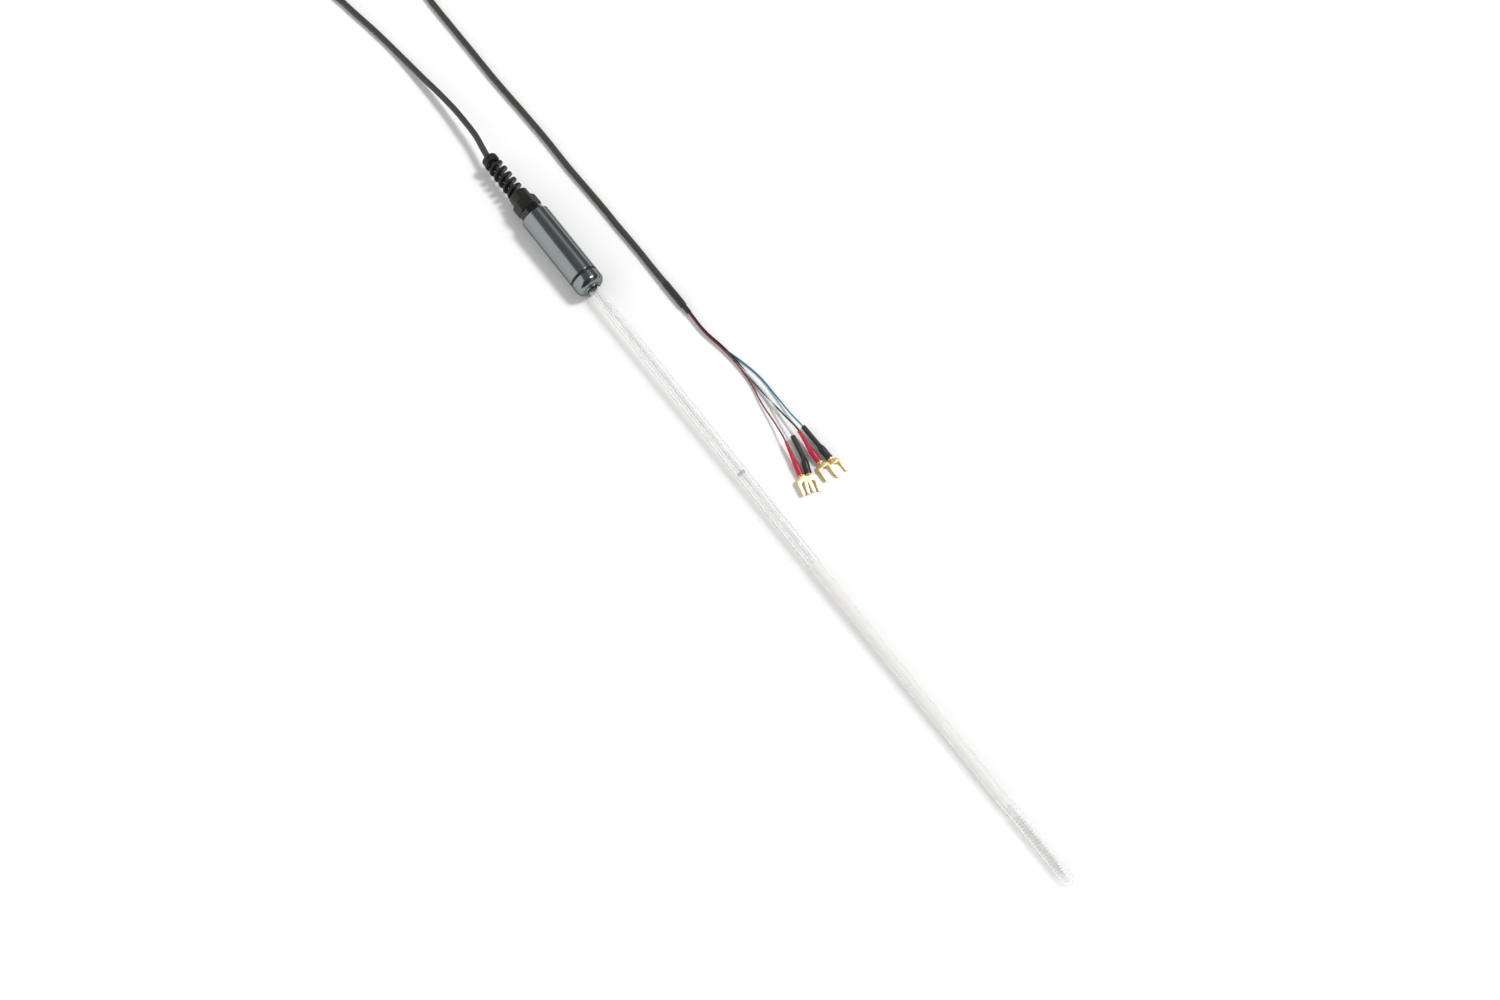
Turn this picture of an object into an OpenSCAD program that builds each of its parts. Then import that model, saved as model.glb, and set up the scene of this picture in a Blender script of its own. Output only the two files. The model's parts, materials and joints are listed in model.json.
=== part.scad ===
// Quartz-sheathed platinum resistance thermometer with a cylindrical handle,
// a spiral bend relief, a four-wire cable and four fork lugs. Millimetres.
// The probe lies on a surface at z = 0, resting on its nose cap and its tip,
// with the tip towards +X. The origin is under the middle of the probe.

/* [Handle] */
// Outside diameter of the handle
handle_d = 19; // [17:0.1:24]
// Length from the rear face to the front face of the nose cap
handle_length = 64.7; // [60:0.1:90]
// Wall of the handle tube
handle_wall = 1.5; // [1:0.1:2]
// Thickness of the rear wall, which takes the gland's thread
rear_wall = 6; // [4:0.1:8]
// Bevel round the rear edge
rear_bevel = 0.8; // [0.2:0.1:1.2]

/* [Nose cap] */
// Length of the cap in front of the seal ring
cap_length = 9.2; // [7:0.1:14]
// Rounding of the cap's front edge
cap_round = 4; // [1:0.1:4]
// Width of the groove between the tube and the cap
ring_groove = 1.7; // [1:0.1:2.5]
// Length of the spigot behind the groove
spigot_length = 8; // [5:0.1:12]
// Width of the raised rim round the sheath
rim_width = 1.2; // [0.6:0.1:1.3]
// Height of the raised rim
rim_height = 0.7; // [0.3:0.1:1.5]

/* [Sheath] */
// Outside diameter of the fused quartz sheath
sheath_d = 7.5; // [7:0.1:8]
// Wall of the sheath
sheath_wall = 1; // [0.8:0.05:1.2]
// Length of the sheath in front of the nose cap
sheath_length = 455; // [430:1:560]
// Length of the sheath inside the handle
sheath_inside = 20; // [18:0.5:24]
// Distance from the nose cap to the start of the frosted band
frost_start = 221.3; // [180:0.1:280]
// Length of the frosted band
frost_length = 178.6; // [120:0.1:190]
// Depth that blasting takes off the frosted band
frost_depth = 0.02; // [0.01:0.01:0.05]

/* [Sensor] */
// Length of the sensor former
former_length = 45; // [30:0.5:46]
// Space between the former and the inside of the tip
tip_space = 4; // [2:0.5:6]
// Thickness of each blade of the crossed former
blade_thickness = 0.5; // [0.3:0.05:0.8]
// Pitch of the platinum winding
winding_pitch = 2; // [1.5:0.1:4]
// Diameter of the platinum wire, winding and leads alike
platinum_d = 0.25; // [0.15:0.01:0.3]

/* [Capillaries] */
// Outside diameter of each twin-bore capillary
capillary_d = 1.7; // [1.5:0.05:1.9]
// Diameter of each bore of a capillary
capillary_bore = 0.45; // [0.35:0.01:0.5]
// Distance between the two bores of a capillary
bore_spacing = 0.8; // [0.7:0.05:0.9]
// Distance from the nose cap to the joint in the capillaries
capillary_joint = 150.8; // [100:0.1:170]
// Thickness of the quartz discs that centre the capillaries
disc_thickness = 1; // [0.6:0.1:2]

/* [Terminals] */
// Thickness of the terminal block
block_thickness = 5; // [3:0.5:7]
// Space between the sheath's end and the terminal block
block_space = 6; // [4:0.5:8]
// Diameter of the circle that the pins stand on
pin_circle = 7; // [5:0.1:9]
// Diameter of the terminal pins
pin_d = 1.2; // [0.8:0.1:1.6]
// Length of the pins behind and in front of the block
pin_reach = 2; // [1:0.1:3]

/* [Gland] */
// Diameter of both gland threads
gland_thread_d = 11.2; // [10:0.1:12]
// Across flats of the gland body
body_flats = 14.4; // [13.5:0.1:16]
// Length of the gland body's hexagon
body_hex_length = 4.3; // [3:0.1:6]
// Across flats of the gland nut
nut_flats = 15; // [14:0.1:16]
// Length of the gland nut's hexagon
nut_hex_length = 6; // [4:0.1:8]
// Diameter of the nut's round end
nut_round_d = 13.1; // [12.6:0.1:13.5]
// Length of the nut's round end
nut_round_length = 6.3; // [6:0.1:8]
// Number of clamping fingers on the gland body
fingers = 6; // [4:1:8]
// Slot between two clamping fingers
finger_slot = 0.8; // [0.4:0.1:1.2]

/* [Bend relief] */
// Length of the open spiral
spiral_length = 25; // [20:0.1:35]
// Pitch of the spiral
spiral_pitch = 4.84; // [4:0.02:6]
// Diameter of the spiral at the nut
spiral_root_d = 11.8; // [11:0.1:12.5]
// Diameter of the spiral at the collar
spiral_end_d = 11; // [10:0.1:12]
// Diameter of the channel inside the spiral
spiral_bore = 4.7; // [4.6:0.1:6]
// Width of the spiral's rib along the axis
rib_width = 1.9; // [1.4:0.1:2.4]
// Diameter of the collar at the end
collar_d = 10.4; // [9:0.1:12]
// Length of the collar
collar_length = 7.5; // [5:0.1:10]
// Bevel round both edges of the collar
collar_bevel = 1; // [0.4:0.1:1.5]

/* [Cable and wires] */
// Outside diameter of the cable
cable_d = 4; // [3.6:0.1:4.2]
// Outside diameter of each insulated wire
wire_d = 1; // [0.8:0.05:1.1]
// Diameter of the sleeve over the end of the jacket
breakout_d = 4.5; // [4.5:0.1:5]
// Length of the sleeve over the end of the jacket
breakout_length = 20; // [15:0.5:30]
// Diameter of the inner sleeve round the four wires
inner_sleeve_d = 3.2; // [3:0.1:3.6]
// Length of the inner sleeve that shows
inner_sleeve_length = 5; // [3:0.5:10]

/* [Fork lugs] */
// Width over the two prongs
lug_width = 9.2; // [8.8:0.1:9.4]
// Width of the slot, for a 4 mm screw
lug_slot = 4.5; // [4.2:0.05:5]
// Depth of the slot
slot_depth = 7.9; // [6:0.1:9]
// Web between the slot and the shoulder
lug_web = 2.8; // [1.4:0.1:2.9]
// Thickness of the lug's sheet
lug_thickness = 0.8; // [0.6:0.05:0.85]
// Width of the tongue
tongue_width = 4.2; // [3.6:0.1:4.6]
// Length of the tongue in front of the sleeve
tongue_length = 1.3; // [1.2:0.1:3]
// Outside diameter of the crimp barrel
barrel_d = 3.2; // [2.8:0.05:3.4]
// Length of the crimp barrel
barrel_length = 6; // [4:0.1:7]
// Wall of the crimp barrel
barrel_wall = 0.6; // [0.4:0.05:0.8]
// Length of each sleeve's wide stretch over the barrel
sleeve_wide_length = 8.5; // [8:0.1:10]
// Length of the taper between a sleeve's wide and thin stretches
sleeve_taper = 1.8; // [1:0.1:3]
// Wall of the red sleeves
red_sleeve_wall = 0.28; // [0.2:0.01:0.3]
// Wall of the black sleeves
black_sleeve_wall = 0.58; // [0.4:0.01:0.6]

/* [Fits] */
// Gap between parts that slide together
slide_gap = 0.05; // [0.02:0.01:0.1]
// Gap between the sheath and the cap's bore
sheath_gap = 0.25; // [0.15:0.01:0.3]
// Gap round the cable where it passes through a bore
cable_gap = 0.15; // [0.05:0.01:0.25]

/* [Hidden] */
$fn = 64;
eps = 0.01;

// ---- the probe's own axis: u = 0 is the cap's front face, +u to the tip
handle_r = handle_d / 2;
tube_inner_r = handle_r - handle_wall;
handle_rear = -handle_length;
tube_front = -cap_length - ring_groove;
spigot_r = tube_inner_r - slide_gap;
spigot_rear = tube_front - spigot_length;
seal_ring_r = ring_groove / 2 - slide_gap;

sheath_r = sheath_d / 2;
sheath_inner_r = sheath_r - sheath_wall;
sheath_rear = -sheath_inside;
dome_u = sheath_length - sheath_r;
frost_end = frost_start + frost_length;
cap_bore_r = sheath_r + sheath_gap;
// seal rings that carry the sheath inside the cap
sheath_ring_r = 1;
ring_squeeze = 0.05;
sheath_ring_seat = sheath_r + 2 * sheath_ring_r - ring_squeeze;
sheath_ring_places = [-cap_length + 2, spigot_rear + 3];

former_end = sheath_length - sheath_wall - tip_space;
former_start = former_end - former_length;
guard_u = former_start - disc_thickness - slide_gap;
winding_r = sheath_inner_r - 0.3;
winding_steps = 12;
former_edge = winding_r * cos(180 / winding_steps) - platinum_d / 2 - 0.03;
former_half = sqrt(former_edge * former_edge - blade_thickness * blade_thickness / 4);
capillary_y = capillary_d / 2 + slide_gap;
lead_places = [for (side = [-1, 1], bore = [-1, 1])
    side * capillary_y + bore * bore_spacing / 2];
capillary_rear_end = sheath_rear - 1;
plug_length = 5;

block_front = sheath_rear - block_space;
block_rear = block_front - block_thickness;
pin_front = block_front + pin_reach;
pin_rear = block_rear - pin_reach;
pin_angles = [225, 135, 315, 45];

// ---- gland
gland_thread_r = gland_thread_d / 2;
body_rear = handle_rear - body_hex_length;
stem_rear = body_rear - nut_hex_length - 1;
hex_edge = 0.5;
finger_length = 2.6;
finger_rear = stem_rear - finger_length;
seal_r = gland_thread_r - 2;
finger_r = seal_r + 1.2;
seal_front = body_rear - 2;
cable_r = cable_d / 2;
cable_bore_r = cable_r + cable_gap;
nut_front = body_rear - slide_gap;
nut_rear = nut_front - nut_hex_length - nut_round_length;
collar_front = nut_rear - spiral_length;
collar_rear = collar_front - collar_length;
cable_core_end = handle_rear + rear_wall + 2;
// the cable leaves the gland's piece inside the collar
exit_u = collar_rear + 1.8;
core_d = 0.9;
core_offset = 0.72;

// ---- how the probe lies: nose cap and tip both touch the surface
lie_a = sheath_length - sheath_r + cap_round;
lie_b = handle_r - cap_round;
lie_c = cap_round - sheath_r;
tilt = asin(lie_c / sqrt(lie_a * lie_a + lie_b * lie_b)) + atan(lie_b / lie_a);
nose_z = sheath_r + dome_u * sin(tilt);
rear_reach = -collar_rear * cos(tilt) + (collar_d / 2 - collar_bevel) * sin(tilt);
front_reach = dome_u * cos(tilt) + sheath_r;
nose_x = (rear_reach - front_reach) / 2;

// ---- fork lugs: where the middle of the prongs' ends lies, counted from
// the nose cap, then heading, height, slope of the barrel and bend of the sleeve
//            x      y     heading  height  slope  bend
lug_red   = [183.6, 25.6, -14,     0.85,   6,     0];
lug_white = [184.9, 28.5, -21.5,   0,      4,     10];
lug_black = [183.8, 42.3, -1.5,    0.85,   6,     -6];
lug_blue  = [185.7, 49.4, 1.5,     0,      4,     0];
shoulder = slot_depth + lug_web;
sleeve_front = shoulder + tongue_length;
barrel_nose = 0.8;
red_wide_r = barrel_d / 2 + slide_gap + red_sleeve_wall;
black_wide_r = barrel_d / 2 + slide_gap + black_sleeve_wall;
red_thin_bore_r = wire_d / 2 + 0.25;
black_thin_bore_r = wire_d / 2 + 0.45;
red_thin_length = 13;
black_thin_length = 15.5;

// ---- cable and wires: x is counted from the nose cap, z is the height of
// the middle of the cord over the surface
breakout_x = 21;
breakout_y = 39.1;
breakout_z = breakout_d / 2 + slide_gap;
jacket_end_x = 33;
inner_sleeve_front = breakout_x + breakout_length + inner_sleeve_length;
handle_run = [
    [-112.3, 0, 10.9], [-116, 0.3, 10.9], [-120, 1.2, 10.9], [-130, 2.7, 10.7], [-141, 3.1, 10.1],
    [-152, 3.2, 9.1], [-163, 2.8, 7.8], [-174, 2.1, 6.4], [-185, 1.1, 5],
    [-197, 0.2, 3.7], [-209, -0.8, 2.6], [-221, -1.9, 2], [-233, -3.3, 2],
    [-245, -5, 2], [-257, -6.9, 2], [-269, -8.6, 2], [-279, -10.7, 2]
];
far_run = [
    [-285.7, 43.4, 5.2], [-273, 41.6, 3.9], [-261, 40, 2.9], [-249, 38.7, 2.2],
    [-237, 37.9, 2], [-225, 37.6, 2], [-212, 37.6, 2], [-199, 37.6, 2],
    [-186, 37.6, 2], [-173, 37.5, 2], [-160, 37.5, 2], [-147, 37.8, 2],
    [-134, 38.2, 2], [-121, 38.5, 2], [-108, 38.7, 2], [-95, 38.6, 2],
    [-82, 38.4, 2], [-69, 38.6, 2], [-56, 38.9, 2], [-43, 39.1, 2],
    [-30, 39, 2], [-17, 39.2, 2], [-4, 39.3, 2], [9, 39.1, 2.1],
    [20, 39.1, 2.3], [33, 39.1, 2.3]
];
red_route = [
    [33.5, 38.6, 1.7], [46, 38.6, 1.7], [62, 38.5, 1.5], [78, 40.8, 1.2],
    [91, 41.8, 1.1], [106, 41, 1.4], [122, 38, 2], [136, 36.4, 3.6],
    [149.8, 34, 5.2], [162.4, 30.9, 3.8]
];
white_route = [
    [33.5, 38.6, 2.8], [46, 38.6, 2.8], [62, 38.5, 2.6], [78, 41, 2.3],
    [91, 42.4, 2.2], [106, 43.2, 2.6], [122, 43.3, 3.2], [136, 41.5, 3.7],
    [149.4, 39.6, 3.9], [164.5, 36.5, 2.8]
];
black_route = [
    [33.5, 39.7, 2.8], [46, 39.7, 2.8], [62, 39.6, 2.6], [78, 42.1, 2.3],
    [91, 43.2, 1.1], [106, 42.9, 1.4], [122, 43.4, 2], [136, 44, 3.6],
    [149.1, 44.6, 5.2], [161.9, 42.9, 3.8]
];
blue_route = [
    [33.5, 39.7, 1.7], [46, 39.7, 1.7], [62, 39.6, 1.5], [78, 42, 1.2],
    [91, 45.4, 0.9], [106, 48.1, 0.8], [122, 48.2, 1.3], [136, 47.9, 2.8],
    [148.3, 48.4, 3.9], [163.8, 48.8, 2.8]
];
// the coil in which the spare cable is put away
coil_centre = [-308, 13];
coil_turns = 9.6;
coil_layers = 2;
coil_mean_r = 24;
coil_half_width = coil_turns / coil_layers * cable_d / 2;

// ---- colours
anodised = "#5b6670";
gland_black = "#33322f";
rubber_black = "#1f1f1f";
quartz = [0.86, 0.88, 0.86, 0.45];
platinum = "#b9b8b4";
gold = "#c9a25a";
cable_grey = "#4a4a45";
sleeve_red = "#b8203f";
sleeve_black = "#2b2b28";

// ---- placing
module from_nose() { translate([nose_x, 0, 0]) children(); }
module lie_down() { translate([nose_x, 0, nose_z]) rotate([0, tilt, 0]) children(); }
// a cylinder or cone along the probe's axis between two stations
module bar(u1, u2, r, r2 = undef) {
    translate([u1, 0, 0]) rotate([0, 90, 0])
        cylinder(h = u2 - u1, r1 = r, r2 = is_undef(r2) ? r : r2);
}
// a hexagon bar with one corner upwards
module hex_bar(u1, u2, flats) {
    translate([u1, 0, 0]) rotate([0, 90, 0])
        cylinder(h = u2 - u1, r = flats / 2 / cos(30), $fn = 6);
}
// a hexagon bar whose corners are turned down to a smaller radius at its ends,
// over a length of e1 at the rear and e2 at the front
module turned_hex(u1, u2, flats, r1, e1, r2, e2) {
    corner_r = flats / 2 / cos(30) + 0.05;
    intersection() {
        hex_bar(u1, u2, flats);
        union() {
            bar(u1, u1 + e1, r1, corner_r);
            bar(u1 + e1, u2 - e2, corner_r);
            bar(u2 - e2, u2, corner_r, r2);
        }
    }
}
module ring_seal(u, seat_r, section_r) {
    translate([u, 0, 0]) rotate([0, 90, 0])
        rotate_extrude() translate([seat_r + section_r, 0]) circle(r = section_r, $fn = 32);
}

// ---- sweeping a cord
function unit(v) = v / norm(v);
function heading_at(route, i) =
    unit(route[min(i + 1, len(route) - 1)] - route[max(i - 1, 0)]);
function ring_at(centre, heading, r, sides) =
    let (across = unit(cross([0, 0, 1], heading)), up = cross(heading, across))
    [for (k = [0:sides - 1]) let (a = 360 * k / sides)
        centre + r * (cos(a) * across + sin(a) * up)];
function skin_faces(rings, sides) = concat(
    [[for (k = [0:sides - 1]) k]],
    [for (i = [0:rings - 2], k = [0:sides - 1])
        let (a = i * sides + k, b = i * sides + (k + 1) % sides)
        [a, a + sides, b + sides, b]],
    [[for (k = [sides - 1:-1:0]) (rings - 1) * sides + k]]
);
module cord(route, r, sides = 8) {
    points = [for (i = [0:len(route) - 1])
        each ring_at(route[i], heading_at(route, i), r, sides)];
    polyhedron(points, skin_faces(len(route), sides), convexity = 10);
}

// ---- handle
module handle_tube() {
    color(anodised) lie_down() difference() {
        union() {
            bar(handle_rear, handle_rear + rear_bevel, handle_r - rear_bevel, handle_r);
            bar(handle_rear + rear_bevel, tube_front, handle_r);
        }
        bar(handle_rear + rear_wall, tube_front + eps, tube_inner_r);
        bar(handle_rear - eps, handle_rear + rear_wall + eps, gland_thread_r + slide_gap);
    }
}

module nose_cap() {
    color(anodised) lie_down() difference() {
        rotate([0, 90, 0]) rotate_extrude() union() {
            // body with its rounded front edge
            translate([0, -cap_length]) square([handle_r, cap_length - cap_round]);
            translate([0, -cap_round]) square([handle_r - cap_round, cap_round]);
            intersection() {
                translate([handle_r - cap_round, -cap_round]) circle(r = cap_round);
                translate([0, -cap_round]) square([handle_r, cap_round]);
            }
            // raised rim, and the spigot that goes into the tube
            translate([0, -eps]) square([cap_bore_r + rim_width, rim_height + eps]);
            translate([0, spigot_rear]) square([spigot_r, spigot_length + ring_groove + eps]);
        }
        bar(spigot_rear - eps, rim_height + eps, cap_bore_r);
        for (u = sheath_ring_places)
            bar(u - sheath_ring_r - slide_gap, u + sheath_ring_r + slide_gap, sheath_ring_seat);
    }
}

module nose_seal_ring() {
    color(rubber_black) lie_down()
        ring_seal(-cap_length - ring_groove / 2, spigot_r, seal_ring_r);
}

module sheath_seal_rings() {
    color(rubber_black) lie_down() for (u = sheath_ring_places)
        ring_seal(u, sheath_r, sheath_ring_r - ring_squeeze / 2);
}

// ---- sheath
module sheath() {
    color(quartz) lie_down() difference() {
        union() {
            bar(sheath_rear, frost_start, sheath_r);
            bar(frost_start, frost_end, sheath_r - frost_depth);
            bar(frost_end, dome_u, sheath_r);
            translate([dome_u, 0, 0]) sphere(r = sheath_r);
        }
        bar(sheath_rear - eps, dome_u, sheath_inner_r);
        translate([dome_u, 0, 0]) sphere(r = sheath_inner_r);
    }
}

module capillary_holes(u1, u2) {
    for (side = [-1, 1]) translate([0, side * capillary_y, 0])
        bar(u1, u2, capillary_d / 2 + slide_gap / 2);
}

module lead_holes(u1, u2) {
    for (y = lead_places) translate([0, y, 0]) bar(u1, u2, capillary_bore / 2);
}

module sheath_plug() {
    color("#d8d4c8") lie_down() difference() {
        bar(sheath_rear, sheath_rear + plug_length, sheath_inner_r);
        capillary_holes(sheath_rear - eps, sheath_rear + plug_length + eps);
    }
}

module capillaries(u1, u2) {
    color(quartz) lie_down() difference() {
        for (side = [-1, 1]) translate([0, side * capillary_y, 0])
            bar(u1, u2, capillary_d / 2);
        lead_holes(u1 - eps, u2 + eps);
    }
}
module capillaries_rear() { capillaries(capillary_rear_end, capillary_joint); }
module capillaries_front() { capillaries(capillary_joint + slide_gap, guard_u - slide_gap); }

module capillary_disc() {
    color(quartz) lie_down() difference() {
        bar(capillary_joint - disc_thickness / 2, capillary_joint + disc_thickness / 2,
            sheath_inner_r - slide_gap);
        capillary_holes(capillary_joint - disc_thickness, capillary_joint + disc_thickness);
    }
}

module guard_disc() {
    color(quartz) lie_down() difference() {
        bar(guard_u, guard_u + disc_thickness, sheath_inner_r - slide_gap);
        lead_holes(guard_u - eps, guard_u + disc_thickness + eps);
    }
}

// ---- sensor: two crossed blades with the platinum wound round their edges
module sensor_former() {
    color(quartz) lie_down() for (turn = [45, 135]) rotate([turn, 0, 0])
        translate([former_start, -former_half, -blade_thickness / 2])
            cube([former_length, 2 * former_half, blade_thickness]);
}

module platinum_winding() {
    steps = winding_steps;
    sides = 4;
    margin = 2;
    turns = floor((former_length - 2 * margin) / winding_pitch);
    rings = turns * steps;
    points = [for (i = [0:rings], k = [0:sides - 1])
        let (a = 360 * i / steps, b = 360 * k / sides,
             r = winding_r + platinum_d / 2 * cos(b))
        [former_start + margin + winding_pitch * i / steps + platinum_d / 2 * sin(b),
         r * cos(a), r * sin(a)]];
    color(platinum) lie_down()
        polyhedron(points, skin_faces(rings + 1, sides), convexity = 10);
}

module platinum_leads() {
    lead_r = platinum_d / 2;
    color(platinum) lie_down() for (i = [0:3]) {
        pin = pin_at(pin_front + slide_gap, pin_angles[i]);
        front = [former_start - slide_gap, lead_places[i], 0];
        knee = [capillary_rear_end - 1, lead_places[i], 0];
        cord([front, knee, pin + [1, 0, 0], pin], lead_r);
    }
}

// ---- terminals in the handle
function pin_at(u, a) = [u, pin_circle / 2 * cos(a), pin_circle / 2 * sin(a)];
module pin_bars(u1, u2, r) {
    for (a = pin_angles) translate(pin_at(0, a)) bar(u1, u2, r);
}

module terminal_block() {
    color("#e9e4d6") lie_down() difference() {
        bar(block_rear, block_front, tube_inner_r - slide_gap);
        pin_bars(block_rear - eps, block_front + eps, pin_d / 2);
    }
}

module terminal_pins() {
    color(gold) lie_down() pin_bars(pin_rear, pin_front, pin_d / 2);
}

module cable_cores() {
    color("#b46a3c") lie_down() for (a = pin_angles) {
        start = [cable_core_end + slide_gap, core_offset * cos(a), core_offset * sin(a)];
        pin = pin_at(pin_rear - slide_gap, a);
        cord([start, start + [3, 0, 0], pin - [2, 0, 0], pin], core_d / 2);
    }
}

// ---- cable gland
module gland_body() {
    color(gland_black) lie_down() difference() {
        union() {
            bar(handle_rear - eps, handle_rear + rear_wall, gland_thread_r);
            turned_hex(body_rear, handle_rear, body_flats, body_flats / 2 + 0.2, hex_edge,
                body_flats / 2 + 0.2, hex_edge);
            bar(stem_rear, body_rear + eps, gland_thread_r);
            bar(finger_rear, stem_rear + eps, finger_r);
        }
        bar(finger_rear - eps, seal_front, seal_r);
        bar(seal_front - eps, handle_rear + rear_wall + eps, cable_bore_r);
        for (i = [0:fingers - 1]) rotate([360 * i / fingers, 0, 0])
            translate([finger_rear - eps, 0, -finger_slot / 2])
                cube([finger_length, finger_r + 1, finger_slot]);
    }
}

module gland_seal() {
    color(rubber_black) lie_down() difference() {
        bar(finger_rear, seal_front - slide_gap, seal_r - slide_gap / 2);
        bar(finger_rear - eps, seal_front, cable_r + slide_gap / 2);
    }
}

// the rib of the bend relief, a helix that runs out into nut and collar
module spiral_rib() {
    steps = 20;
    bite = 1;
    half = rib_width / 2;
    edge = 0.4;
    inner = spiral_bore / 2;
    length = spiral_length + 2 * bite - rib_width;
    rings = round(length / spiral_pitch * steps);
    // section as [along the axis, out from the axis]
    function section(outer) = [
        [-half + edge, inner], [half - edge, inner], [half, inner + edge],
        [half, outer - edge], [half - edge, outer], [-half + edge, outer],
        [-half, outer - edge], [-half, inner + edge]
    ];
    function rib_outer(i) = (spiral_root_d + (spiral_end_d - spiral_root_d) * i / rings) / 2;
    points = [for (i = [0:rings], p = section(rib_outer(i)))
        let (a = 360 * i / steps)
        [nut_rear + bite - half - length * i / rings - p[0], p[1] * cos(a), -p[1] * sin(a)]];
    polyhedron(points, skin_faces(rings + 1, 8), convexity = 10);
}

module gland_nut_with_relief() {
    shoulder_u = nut_front - nut_hex_length;
    color(gland_black) lie_down() {
        difference() {
            union() {
                turned_hex(shoulder_u, nut_front, nut_flats, nut_round_d / 2 + 0.4, 1.4,
                    nut_flats / 2 + 0.2, hex_edge);
                bar(nut_rear, nut_rear + 1, nut_round_d / 2 - 0.5, nut_round_d / 2);
                bar(nut_rear + 1, shoulder_u + eps, nut_round_d / 2);
            }
            bar(stem_rear - 0.3, nut_front + eps, gland_thread_r + slide_gap);
            bar(finger_rear - 0.3, stem_rear, finger_r + slide_gap);
            bar(nut_rear - eps, nut_front, cable_bore_r + slide_gap);
        }
        difference() {
            union() {
                bar(collar_rear, collar_rear + collar_bevel, collar_d / 2 - collar_bevel, collar_d / 2);
                bar(collar_rear + collar_bevel, collar_front - collar_bevel, collar_d / 2);
                bar(collar_front - collar_bevel, collar_front, collar_d / 2, collar_d / 2 - collar_bevel);
            }
            bar(collar_rear - eps, collar_front + eps, cable_bore_r);
        }
        spiral_rib();
    }
}

// ---- cable
module cable_in_gland() {
    color(cable_grey) lie_down() bar(exit_u, cable_core_end, cable_r);
}
module cable_handle_run() { color(cable_grey) from_nose() cord(handle_run, cable_r); }
module cable_far_run() { color(cable_grey) from_nose() cord(far_run, cable_r); }
module cable_coil() {
    color(cable_grey) from_nose() translate([coil_centre[0], coil_centre[1], 0])
        rotate_extrude()
            translate([coil_mean_r - coil_half_width - cable_r, 0])
                square([2 * coil_half_width + cable_d, coil_layers * cable_d]);
}

// ---- where the jacket ends and the wires come out
module at_breakout() { from_nose() translate([0, breakout_y, breakout_z]) children(); }

module breakout_sleeve() {
    front = breakout_x + breakout_length;
    neck = jacket_end_x + 3;
    color(sleeve_black) at_breakout() difference() {
        union() {
            bar(breakout_x, neck, breakout_d / 2);
            bar(neck, front, breakout_d / 2, inner_sleeve_d / 2 + 0.3);
        }
        bar(breakout_x - eps, jacket_end_x + slide_gap, cable_r + slide_gap);
        bar(jacket_end_x, front + eps, inner_sleeve_d / 2 + slide_gap / 2);
    }
}

module breakout_inner_sleeve() {
    color(sleeve_black) at_breakout() difference() {
        bar(jacket_end_x + 3, inner_sleeve_front, inner_sleeve_d / 2);
        bar(jacket_end_x, inner_sleeve_front + eps, inner_sleeve_d / 2 - 0.25);
    }
}

module wire_red() { color("#8a3a40") from_nose() cord(red_route, wire_d / 2); }
module wire_white() { color("#b9bcbc") from_nose() cord(white_route, wire_d / 2); }
module wire_black() { color("#26272a") from_nose() cord(black_route, wire_d / 2); }
module wire_blue() { color("#4f8296") from_nose() cord(blue_route, wire_d / 2); }

// ---- fork lugs and their sleeves
module at_lug(lug) {
    from_nose() translate([lug[0], lug[1], lug[3]]) rotate([0, 0, lug[2]]) children();
}
// the barrel's own axis, from its front end backwards
module at_barrel(lug, wide_r) {
    at_lug(lug) translate([-sleeve_front, 0, wide_r]) rotate([0, lug[4], 0]) children();
}

module lug_outline() {
    corner = 2;
    difference() {
        union() {
            hull() {
                for (side = [-1, 1])
                    translate([-shoulder + corner, side * (lug_width / 2 - corner)])
                        circle(r = corner, $fn = 32);
                translate([-0.6, -lug_width / 2]) square([0.1, lug_width]);
                translate([-0.1, -lug_width / 2 + 0.5]) square([0.1, lug_width - 1]);
            }
            translate([-sleeve_front, -tongue_width / 2])
                square([sleeve_front, tongue_width]);
        }
        translate([lug_slot / 2 - slot_depth, 0]) circle(r = lug_slot / 2);
        translate([lug_slot / 2 - slot_depth, -lug_slot / 2]) square([slot_depth, lug_slot]);
    }
}

module fork_lug(lug, wide_r) {
    color(gold) {
        at_lug(lug) linear_extrude(lug_thickness) lug_outline();
        at_barrel(lug, wide_r) difference() {
            bar(-barrel_length, barrel_nose, barrel_d / 2);
            bar(-barrel_length - eps, -barrel_nose, barrel_d / 2 - barrel_wall);
        }
    }
}

module lug_sleeve(lug, wide_r, wall, thin_bore_r, thin_length, shade) {
    thin_r = thin_bore_r + wall;
    step = -sleeve_wide_length;
    bend_u = step - 0.8 * sleeve_taper;
    color(shade) at_barrel(lug, wide_r) difference() {
        union() {
            bar(step, 0, wide_r);
            bar(step - sleeve_taper, step, thin_r, wide_r);
            translate([bend_u, 0, 0]) rotate([0, 0, lug[5]]) bar(-thin_length, 0, thin_r);
        }
        bar(step, eps, wide_r - wall);
        bar(step - sleeve_taper, step + eps, thin_bore_r, wide_r - wall);
        translate([bend_u, 0, 0]) rotate([0, 0, lug[5]])
            bar(-thin_length - eps, 0, thin_bore_r);
    }
}

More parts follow.
